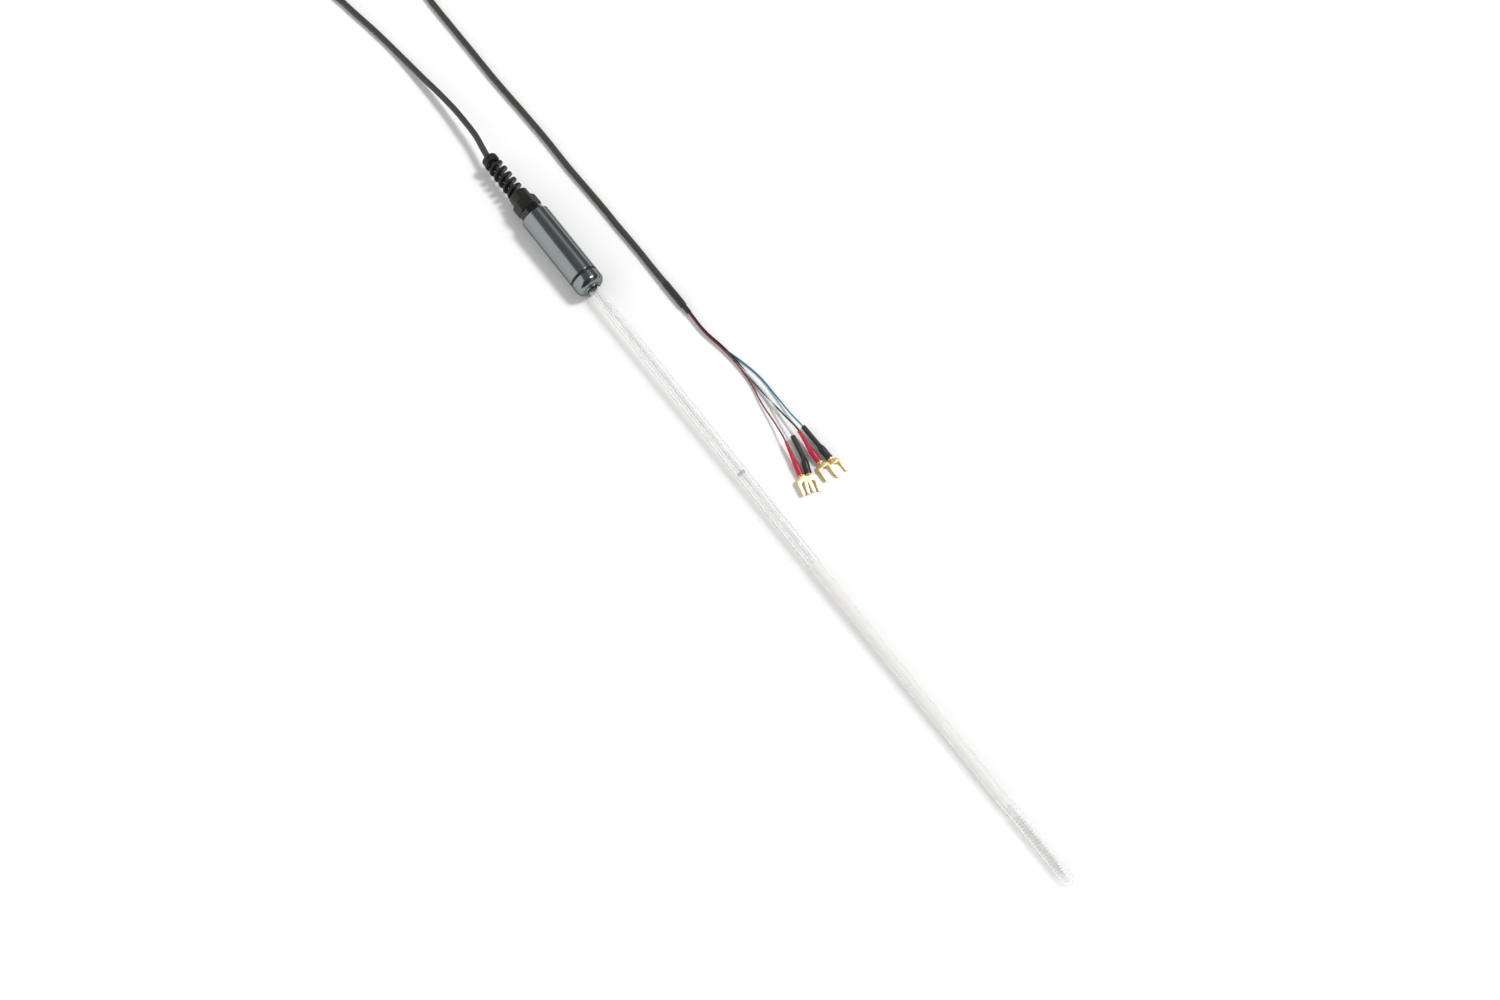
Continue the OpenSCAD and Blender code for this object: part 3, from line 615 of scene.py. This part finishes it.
def make_cord(name, route, radius, material):
    """A round cord through the route's points, which are in millimetres from the nose cap."""
    curve = bpy.data.curves.new(name, "CURVE")
    curve.dimensions = "3D"
    curve.resolution_u = 6
    curve.bevel_depth = radius
    curve.bevel_resolution = 5
    curve.use_fill_caps = True
    spline = curve.splines.new("BEZIER")
    spline.bezier_points.add(len(route) - 1)
    for point, place in zip(spline.bezier_points, route):
        point.co = FROM_NOSE @ (Vector(place) * MM)
        point.handle_left_type = point.handle_right_type = "AUTO"
    spline.use_smooth = True
    return finished_object(name, curve, material)


# ---- operators, one for each piece or group of like pieces
class PROBE_OT_camera(bpy.types.Operator):
    """Place the camera"""
    bl_idname = "probe.camera"
    bl_label = "Camera"

    def execute(self, context):
        place = context.scene.probe_camera
        target = Vector((NOSE.x + place.target_x, place.target_y, 0))
        data = bpy.data.cameras.new("camera")
        data.sensor_fit = "HORIZONTAL"
        data.lens = place.lens
        data.clip_start = 0.01
        camera = new_object("camera", data)
        camera.matrix_world = (
            Matrix.Translation(target) @ Matrix.Rotation(place.azimuth, 4, "Z")
            @ Matrix.Rotation(math.pi / 2 - place.elevation, 4, "X")
            @ Matrix.Translation((0, 0, place.distance)))
        context.scene.camera = camera
        return {"FINISHED"}


def straight_sleeve(name, profile, node):
    """A turned sleeve that lies along X from where the jacket's sleeve begins."""
    place = FROM_NOSE @ Matrix.Translation(Vector(BREAKOUT) * MM)
    return make_piece(name, lathe(profile, 48), "black_sleeve", node, place)


class PROBE_OT_cable(bpy.types.Operator):
    """Lay the cable with its coil, and the sleeves where its jacket ends"""
    bl_idname = "probe.cable"
    bl_label = "Cable"

    def execute(self, context):
        c = context.scene.probe_cable
        radius = c.diameter / 2
        route = HANDLE_RUN + coil_points(c) + FAR_RUN
        cable = make_cord("cable", route, radius, "jacket")
        settle(cable, "cable_handle_run")
        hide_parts("cable_coil", "cable_far_run")
        # outer sleeve: a soft shoulder where it shrinks from the jacket to the wires
        jacket = (JACKET_END - BREAKOUT[0]) * MM
        end = c.breakout_length
        outer, r = c.breakout_diameter / 2, c.inner_diameter / 2
        neck, bore, inner = r + 0.3 * MM, radius + FIT, r + 0.02 * MM
        outside = [(0, outer - 0.25 * MM), (0.3 * MM, outer)]
        outside += [(end - 2.8 * MM + 2.2 * MM * t, outer + (neck + 0.2 * MM - outer) * ease(t))
                    for t in even(8)]
        outside += [(end - 0.2 * MM, neck), (end, neck - 0.15 * MM)]
        inside = [(end, inner), (jacket + 0.1 * MM, inner), (jacket + 0.1 * MM, bore), (0, bore)]
        sleeve = straight_sleeve("breakout_sleeve_shrunk", outside + inside, "breakout_sleeve")
        # inner sleeve round the four wires
        start, front = jacket + 3 * MM, end + c.inner_length
        wall = 0.25 * MM
        ring = [(start, r), (front - 0.15 * MM, r), (front, r - 0.1 * MM),
                (front, r - wall), (start, r - wall)]
        inner_sleeve = straight_sleeve("breakout_inner_sleeve_shrunk", ring,
                                       "breakout_inner_sleeve")
        return {"FINISHED"}


def lug_place(lug):
    """The frame of a lug: its prong ends at the origin, pointing along +X."""
    return (FROM_NOSE @ Matrix.Translation(Vector((lug.x, lug.y, lug.height)) * MM)
            @ Matrix.Rotation(math.radians(lug.heading), 4, "Z"))


def barrel_place(lug, s):
    """The frame of a lug's barrel, at the front end of its sleeve."""
    place = -(s.depth + s.web + s.tongue), 0, lug_radii(lug, s)[1]
    return (lug_place(lug) @ Matrix.Translation(place)
            @ Matrix.Rotation(math.radians(lug.slope), 4, "Y"))


def lug_radii(lug, s):
    """Wall, outside radius over the barrel, bore radius of the thin stretch and its length."""
    red = lug.sleeve == "red"
    wall, thin = (s.red_wall, s.red_thin) if red else (s.black_wall, s.black_thin)
    bore = bpy.context.scene.probe_cable.wire / 2 + (0.05 if red else 0.45) * MM
    return wall, s.barrel / 2 + FIT + wall, bore, thin


def lug_outline(s):
    """The flat fork seen from above: one half, its mirror image, then the slot."""
    shoulder = s.depth + s.web
    front = shoulder + s.tongue
    half, slot, tongue = s.width / 2, s.slot / 2, s.tongue_width / 2
    corner, tip = 2 * MM, 0.5 * MM
    points = [(0, half - tip), (-tip, half)]
    points += [(corner - shoulder - corner * math.sin(a), half - corner + corner * math.cos(a))
               for a in (math.pi / 2 * t for t in even(8))]
    points += [(-shoulder, tongue), (-front, tongue)]
    points += [(x, -y) for x, y in points[::-1]] + [(0, -slot)]
    points += [(slot - s.depth - slot * math.sin(a), -slot * math.cos(a))
               for a in (math.pi * t for t in even(24))]
    return points + [(0, slot)]


def make_lug(name, lug, s):
    """One fork lug with its crimp barrel."""
    outline = lug_outline(s)
    count = len(outline)
    to_lug = (lug_place(lug) @ Matrix.Translation((0, 0, lug.lift * MM))
              @ Matrix.Rotation(math.radians(lug.pitch), 4, "Y")
              @ Matrix.Rotation(math.radians(lug.roll), 4, "X"))
    mesh = bpy.data.meshes.new(name)
    verts = [to_lug @ Vector((x, y, z)) for z in (0, s.thickness) for x, y in outline]
    faces = [tuple(range(count - 1, -1, -1)), tuple(range(count, 2 * count))]
    mesh.from_pydata(verts, [], faces + loop_faces(2, count, False))
    shape = bmesh.new()
    shape.from_mesh(mesh)
    bmesh.ops.recalc_face_normals(shape, faces=shape.faces)
    steep = 1.2  # radians; the edges along the outline's curves are less steep
    rims = [e for e in shape.edges if e.calc_face_angle(0) > steep]
    bmesh.ops.bevel(shape, geom=rims, offset=0.12 * MM, segments=2, profile=0.5,
                    affect="EDGES", clamp_overlap=True)
    # the barrel, closed at its front end
    r, nose, back = s.barrel / 2, 0.8 * MM, -s.barrel_length
    inner = r - 0.6 * MM
    profile = [(nose, 0), (nose, r - 0.4 * MM), (nose - 0.12 * MM, r - 0.12 * MM),
               (nose - 0.4 * MM, r), (back + 0.1 * MM, r), (back, r - 0.1 * MM),
               (back, inner), (-nose, inner), (-nose, 0)]
    verts, faces = lathe(profile, 40, closed=False)
    to_barrel = barrel_place(lug, s)
    made = [shape.verts.new(to_barrel @ Vector(v)) for v in verts]
    for face in faces:
        shape.faces.new([made[i] for i in face])
    bmesh.ops.recalc_face_normals(shape, faces=shape.faces)
    shape.to_mesh(mesh)
    shape.free()
    smooth_shaded(mesh, 40)
    return finished_object(name, mesh, "gold")


def sleeve_shape(lug, s):
    """Rings of a lug's sleeve: wide over the barrel, a soft step, thin over the wire."""
    wall, wide, bore, thin = lug_radii(lug, s)
    slim, hole = bore + wall, wide - wall
    flare = s.red_flare if lug.sleeve == "red" else 0
    step, taper = s.sleeve_wide, s.sleeve_taper
    knee = step + 0.8 * taper
    lip, lead = 0.25 * MM, 1.2 * MM
    # (distance back from the front end, outside radius, inside radius)
    marks = [(0, wide - 0.1 * MM, hole), (lip, wide, hole)]
    for t in even(6)[1:-1]:
        # the sleeve hugs the crimp, so it is a little waisted over it
        waist = 0.12 * MM * math.sin(math.pi * t) ** 2
        marks.append((lip + (s.barrel_length - lip) * t, wide - waist, hole - waist))
    marks.append((s.barrel_length + 0.2 * MM, wide, hole))
    for t in even(8):
        marks.append((step - lead + (taper + lead) * t, wide + (slim + flare - wide) * ease(t),
                      hole + (bore + flare - hole) * ease(t)))
    for t in even(7)[1:]:
        more = flare * (1 - t)
        marks.append((step + taper + (knee + thin - step - taper) * t, slim + more, bore + more))
    outer, inner = [], []
    for back, r_out, r_in in marks:
        # behind the knee the thin stretch turns sideways, softly at first
        beyond = max(0.0, back - knee)
        soft = min(1.0, beyond / (1.5 * MM))
        turn, lean = (Matrix.Rotation(math.radians(lug.bend) * part, 3, "Z") for part in (1, soft))
        centre = Vector((-min(back, knee), 0, 0)) + turn @ Vector((-beyond, 0, 0))
        for rings, r in ((outer, r_out), (inner, r_in)):
            rings.append([centre + lean @ Vector(p) for p in circle(0, r, 40)])
    return loft(outer + inner[::-1])


class PROBE_OT_wires(bpy.types.Operator):
    """Lay the four wires, each with its sleeve and its fork lug"""
    bl_idname = "probe.wires"
    bl_label = "Wires, sleeves and lugs"

    def execute(self, context):
        c, s = context.scene.probe_cable, context.scene.probe_lugs
        for name, route in WIRES.items():
            lug = LUGS[name]
            wire = make_cord("insulated_wire_" + name, route, c.wire / 2, name + "_wire")
            settle(wire, "wire_" + name)
            shade = lug.sleeve + "_sleeve"
            sleeve = make_piece("shrunk_sleeve_" + name, sleeve_shape(lug, s), shade,
                                "sleeve_on_" + name, barrel_place(lug, s))
            fork = make_lug("gold_lug_" + name, lug, s)
            settle(fork, "lug_on_" + name)
        return {"FINISHED"}


class PROBE_OT_handle(bpy.types.Operator):
    """Turn the handle tube, the nose cap and the seal ring between them"""
    bl_idname = "probe.handle"
    bl_label = "Handle"

    def execute(self, context):
        h, g = context.scene.probe_handle, context.scene.probe_gland
        sheath = context.scene.probe_sheath
        at = stations(h, g)
        r, inner = h.diameter / 2, h.diameter / 2 - h.wall
        bore = g.thread_diameter / 2 + FIT
        rear, front = at["rear"], at["tube_front"]
        corners = [(rear, bore), (rear, r - h.rear_bevel), (rear + h.rear_bevel, r), (front, r),
                   (front, inner), (rear + h.rear_wall, inner), (rear + h.rear_wall, bore)]
        outline = rounded(corners, [0, 0.25 * MM, 0.4 * MM, 0.18 * MM, 0, 0, 0])
        make_piece("handle_tube_turned", lathe(outline), "anodised", node="handle_tube")
        hole = sheath.diameter / 2 + 0.25 * MM
        spigot, rim = inner - FIT, hole + h.rim_width
        back = front - h.spigot
        corners = [(back, hole), (back, spigot), (-h.cap_length, spigot), (-h.cap_length, r),
                   (0, r), (0, rim), (h.rim_height, rim), (h.rim_height, hole)]
        radii = [0, 0, 0, 0.18 * MM, h.cap_round - 0.001 * MM, 0.3 * MM, 0.25 * MM, 0.2 * MM]
        make_piece("nose_cap_turned", lathe(rounded(corners, radii, 12)), "anodised",
                   node="nose_cap")
        thick = h.groove / 2 - FIT
        middle = -h.cap_length - h.groove / 2
        ring = [(middle + x, spigot + thick + y) for _, y, x in circle(0, thick, 24)]
        make_piece("nose_seal_ring_moulded", lathe(ring, 96), "rubber", node="nose_seal_ring")
        return {"FINISHED"}


class PROBE_OT_sheath(bpy.types.Operator):
    """Draw the quartz sheath with its domed tip and frosted band"""
    bl_idname = "probe.sheath"
    bl_label = "Sheath"

    def execute(self, context):
        s = context.scene.probe_sheath
        r, inner = s.diameter / 2, s.diameter / 2 - s.wall
        dome = s.length - r
        start, end = s.frost_start, s.frost_start + s.frost_length

        def arc(radius):
            return [(dome + radius * math.cos(a), radius * math.sin(a))
                    for a in (math.pi / 2 * t for t in even(20)[1:])]

        blend = 0.15 * MM
        blasted = r - s.frost_depth
        profile = [(s.length, 0), *arc(r), (end + blend, r), (end, blasted), (start, blasted),
                   (start - blend, r), (-s.inside, r), (-s.inside, inner), *arc(inner)[::-1],
                   (dome + inner, 0)]
        sides = 96
        piece = make_piece("sheath_drawn", lathe(profile, sides, closed=False), "quartz",
                           node="sheath")
        piece.data.materials.append(finish("frost"))
        # the profile's first point is a pole, so the rings count from its second
        band = profile.index((end, blasted)) - 1
        for face in piece.data.polygons[band * sides:(band + 1) * sides]:
            face.material_index = 1
        return {"FINISHED"}


class PROBE_OT_sensor(bpy.types.Operator):
    """Give the pieces inside the sheath and the handle their finishes"""
    bl_idname = "probe.sensor"
    bl_label = "Inner pieces"

    def execute(self, context):
        dressed = {
            "capillaries_rear": "inner_quartz", "capillaries_front": "inner_quartz",
            "capillary_disc": "inner_quartz", "guard_disc": "inner_quartz",
            "sensor_former": "inner_quartz", "platinum_winding": "platinum",
            "platinum_leads": "platinum", "sheath_seal_rings": "rubber",
            "sheath_plug": "potting", "terminal_block": "insulator", "terminal_pins": "gold",
            "cable_cores": "copper", "gland_seal": "rubber",
        }
        for node, name in dressed.items():
            mesh = frame["nodes"][node].data
            mesh.materials.clear()
            mesh.materials.append(finish(name))
        return {"FINISHED"}


def hexagon_loft(marks, flats, turn, trim=0.0):
    """A skin through (station, radius) marks, where a hexagon cuts whatever is wider. The
    first ring is drawn in by the trim."""
    rings = []
    for u, radius in marks:
        ring = []
        for a in around(180):
            side = flats / 2 / math.cos((a - turn) % (math.pi / 3) - math.pi / 6)
            reach = min(radius, side) - trim
            ring.append((u, reach * math.sin(a), reach * math.cos(a)))
        rings.append(ring)
        trim = 0.0
    return loft(rings)


def gland_body_shape(h, g, c, at):
    """The gland body: a hexagon with turned corners between two threaded ends."""
    thread = g.thread_diameter / 2
    corner = g.body_flats / 2 / math.cos(math.pi / 6) - 0.18 * MM
    low = g.body_flats / 2 + 0.1 * MM
    bore, seal = c.diameter / 2 + 0.15 * MM, thread - 2 * MM
    front, shoulder, rear = at["rear"] + h.rear_wall, at["rear"], at["body_rear"]
    stem, pocket = rear - g.nut_hex - 1 * MM, seal + 1.2 * MM
    marks = [(front, thread - 0.5 * MM), (front - 0.5 * MM, thread), (shoulder, thread),
             (shoulder, low), (shoulder - 0.12 * MM, low + 0.25 * MM),
             (shoulder - 0.5 * MM, corner), (rear + 0.5 * MM, corner),
             (rear + 0.12 * MM, low + 0.25 * MM), (rear, low), (rear, thread), (stem, thread),
             (stem, pocket), (stem - 2.6 * MM, pocket), (stem - 2.6 * MM, seal),
             (rear - 2 * MM, seal), (rear - 2 * MM, bore), (front, bore)]
    return hexagon_loft(marks, g.body_flats, g.body_turn)


def nut_shape(g, c, at):
    """The gland nut: a hexagon with turned corners, a coned shoulder and a round end."""
    front, rear = at["nut_front"], at["nut_rear"]
    corner = g.nut_flats / 2 / math.cos(math.pi / 6) - 0.22 * MM
    shoulder = front - g.nut_hex
    r, bead = g.nut_round / 2, 0.8 * MM
    cone_start, cone_end = r + 0.4 * MM, g.nut_flats / 2 + 0.9 * MM
    thread, hole = g.thread_diameter / 2 + FIT, c.diameter / 2 + 0.2 * MM
    cavity = shoulder + 1 * MM
    marks = [(front, corner), (front - 0.12 * MM, corner)]
    for t in even(8)[::-1]:
        cone = cone_start + (cone_end - cone_start) * math.sin(t * math.pi / 2)
        marks.append((shoulder + 1.2 * MM * t, min(corner, cone)))
    marks += [(shoulder - 0.1 * MM, r + 0.1 * MM), (shoulder - 0.3 * MM, r)]
    marks += [(rear + bead - bead * math.sin(a), r - bead + bead * math.cos(a))
              for a in (math.pi / 2 * t for t in even(6))]
    marks += [(rear, hole), (cavity - 3 * MM, hole), (cavity - 2.9 * MM, thread - 0.8 * MM),
              (cavity, thread), (front, thread)]
    return hexagon_loft(marks, g.nut_flats, g.nut_turn, 0.1 * MM)


def rib_shape(g, nut_rear):
    """The bend relief: a rounded bar that winds from inside the nut to inside the collar."""
    sections_a_turn = 72
    bite, edge = 1.25 * MM, 0.45 * MM
    half, inner = g.rib_width / 2, g.spiral_bore / 2
    run = g.spiral_length + 2 * bite - g.rib_width
    count = round(run / g.spiral_pitch * sections_a_turn)
    spiral = []
    for i, t in enumerate(even(count)):
        outer = (g.spiral_root + (g.spiral_end - g.spiral_root) * t) / 2
        corners = [(-half, inner), (-half, outer), (half, outer), (half, inner)]
        a = 2 * math.pi * i / sections_a_turn
        u = nut_rear + bite - half - run * t
        # the section's first value runs along the axis, its second out from it
        spiral.append([(u - p, q * math.cos(a), -q * math.sin(a))
                       for p, q in rounded(corners, [edge] * 4, 4)])
    width = len(spiral[0])
    last = (len(spiral) - 1) * width
    ends = [tuple(range(width)), tuple(last + k for k in range(width - 1, -1, -1))]
    return ([p for section in spiral for p in section],
            loop_faces(len(spiral), width, False) + ends)


def collar_shape(g, c, at):
    """The collar at the end of the bend relief, with bevelled edges."""
    rear, front = at["collar_rear"], at["collar_front"]
    bevel, r, bore = g.collar_bevel, g.collar_diameter / 2, c.diameter / 2 + 0.15 * MM
    corners = [(rear, bore), (rear, r - bevel), (rear + bevel, r), (front - bevel, r),
               (front, r - bevel), (front, bore)]
    return lathe(rounded(corners, [0.1 * MM] + [0.5 * MM] * 4 + [0.1 * MM]), 96)


class PROBE_OT_gland(bpy.types.Operator):
    """Mould the gland nut with its spiral bend relief, and the held stretch of cable"""
    bl_idname = "probe.gland"
    bl_label = "Gland and bend relief"

    def execute(self, context):
        h, g = context.scene.probe_handle, context.scene.probe_gland
        c = context.scene.probe_cable
        at = stations(h, g)
        nut = joined(nut_shape(g, c, at), rib_shape(g, at["nut_rear"]), collar_shape(g, c, at))
        make_piece("gland_nut_and_spiral", nut, "nylon", node="gland_nut_with_relief",
                   sharp=35)
        make_piece("gland_body_moulded", gland_body_shape(h, g, c, at), "nylon_gloss",
                   node="gland_body", sharp=35)
        inside, end = at["collar_rear"] + 1.8 * MM, at["rear"] + h.rear_wall + 2 * MM
        r = c.diameter / 2
        held = lathe([(inside, 0), (inside, r), (end, r), (end, 0)], 48, closed=False)
        make_piece("cable_held_stretch", held, "jacket", node="cable_in_gland",
                   sharp=50)
        return {"FINISHED"}


def studio_world():
    """A dark room with a white tent over its near side."""
    world = bpy.data.worlds.new("studio")
    world.use_nodes = True
    tree = world.node_tree
    tree.nodes.clear()
    sky = add(tree, "ShaderNodeTexCoord").outputs["Generated"]
    dot = {"operation": "DOT_PRODUCT"}
    near = add(tree, "ShaderNodeVectorMath", dot, i0=sky, i1=(-0.579, -0.816, 0))
    tent = add(tree, "ShaderNodeMapRange", i0=near.outputs["Value"], i1=0.485, i2=0.555)
    sideways = add(tree, "ShaderNodeSeparateXYZ", Vector=sky)
    room = add(tree, "ShaderNodeMapRange", i0=sideways, i1=-0.2, i2=0.45, i3=0.21, i4=0.08)
    lit = add(tree, "ShaderNodeMix", {"data_type": "RGBA"}, i0=tent, i6=room,
              i7=(1.12, 1.13, 1.11, 1))
    # a long dim strip hangs over the far side
    beyond = add(tree, "ShaderNodeVectorMath", dot, i0=sky, i1=(0, 0.731, -0.682))
    off = add(tree, "ShaderNodeMath", {"operation": "ABSOLUTE"}, i0=beyond.outputs["Value"])
    strip = add(tree, "ShaderNodeMapRange", {"interpolation_type": "SMOOTHSTEP"},
                i0=off, i1=0.05, i2=0.26, i3=0.42, i4=0.0)
    both = add(tree, "ShaderNodeMix", {"data_type": "RGBA", "blend_type": "ADD"}, i0=1.0,
               i6=lit.outputs[2], i7=strip)
    light = add(tree, "ShaderNodeBackground", Color=both.outputs[2])
    # the camera sees a plain white instead, directly and through the quartz
    white = add(tree, "ShaderNodeBackground", Color=(0.97, 0.975, 0.98, 1))
    ray = add(tree, "ShaderNodeLightPath").outputs
    seen = add(tree, "ShaderNodeMath", {"operation": "MAXIMUM"},
               i0=ray["Is Camera Ray"], i1=ray["Is Transmission Ray"])
    shown = add(tree, "ShaderNodeMixShader", i0=seen, i1=light, i2=white)
    add(tree, "ShaderNodeOutputWorld", Surface=shown)
    return world


class PROBE_OT_stage(bpy.types.Operator):
    """Lay the floor and set the studio light"""
    bl_idname = "probe.stage"
    bl_label = "Stage"

    def execute(self, context):
        half = 4.0
        mesh = bpy.data.meshes.new("floor")
        mesh.from_pydata([(-half, -half, 0), (half, -half, 0), (half, half, 0), (-half, half, 0)],
                         [], [(0, 1, 2, 3)])
        mesh.materials.append(new_material(
            "floor_pale_card", context.scene.probe_colours.floor, 0.9,
            dict(size=30, shade=0.004), Specular_IOR_Level=0.1))
        floor = new_object("floor", mesh)

        # the key from the far side, so distant that it lights the floor evenly: a bright
        # middle, and a wide rim that only softens the shadows; a broad weak fill faces it
        far, near = Vector((0.11, 0.53, 0.84)), Vector((-0.35, -0.62, 0.7))
        for name, towards, angle, energy in (("key_middle", far, 12, 1.86),
                                             ("key_rim", far, 60, 0.58),
                                             ("fill", near, 80, 0.42)):
            sun = bpy.data.lights.new(name, "SUN")
            sun.angle = math.radians(angle)
            sun.energy = energy
            lamp = new_object(name, sun)
            lamp.location = towards
            lamp.rotation_euler = towards.to_track_quat("Z", "Y").to_euler()
            lamp.visible_glossy = name == "key_middle"
            # bent light that meets so small a source would only speckle the quartz
            lamp.visible_transmission = False

        context.scene.world = studio_world()
        context.scene.view_settings.view_transform = "Standard"
        # a view along the sheath crosses many faces of clear quartz
        context.scene.cycles.transparent_max_bounces = 32
        return {"FINISHED"}


OPERATORS = (PROBE_OT_camera, PROBE_OT_cable, PROBE_OT_wires, PROBE_OT_handle, PROBE_OT_sheath,
             PROBE_OT_sensor, PROBE_OT_gland, PROBE_OT_stage)


class PROBE_PT_panel(bpy.types.Panel):
    """Lists the steps that build the probe"""
    bl_idname = "PROBE_PT_panel"
    bl_label = "Thermometer Probe"
    bl_space_type = "VIEW_3D"
    bl_region_type = "UI"
    bl_category = "Probe"

    def draw(self, context):
        for operator in OPERATORS:
            self.layout.operator(operator.bl_idname)


GROUPS = {"probe_handle": HandleSizes, "probe_sheath": SheathSizes, "probe_gland": GlandSizes,
          "probe_cable": CableSizes, "probe_lugs": LugSizes, "probe_colours": ProbeColours,
          "probe_camera": CameraPlace}


def register():
    for name, group in GROUPS.items():
        bpy.utils.register_class(group)
        setattr(bpy.types.Scene, name, PointerProperty(type=group))
    for cls in (*OPERATORS, PROBE_PT_panel):
        bpy.utils.register_class(cls)


def unregister():
    for cls in (PROBE_PT_panel, *reversed(OPERATORS)):
        bpy.utils.unregister_class(cls)
    for name, group in reversed(GROUPS.items()):
        delattr(bpy.types.Scene, name)
        bpy.utils.unregister_class(group)


def main():
    register()
    for operator in OPERATORS:
        space, call = operator.bl_idname.split(".")
        getattr(getattr(bpy.ops, space), call)()


if __name__ == "__main__":
    main()
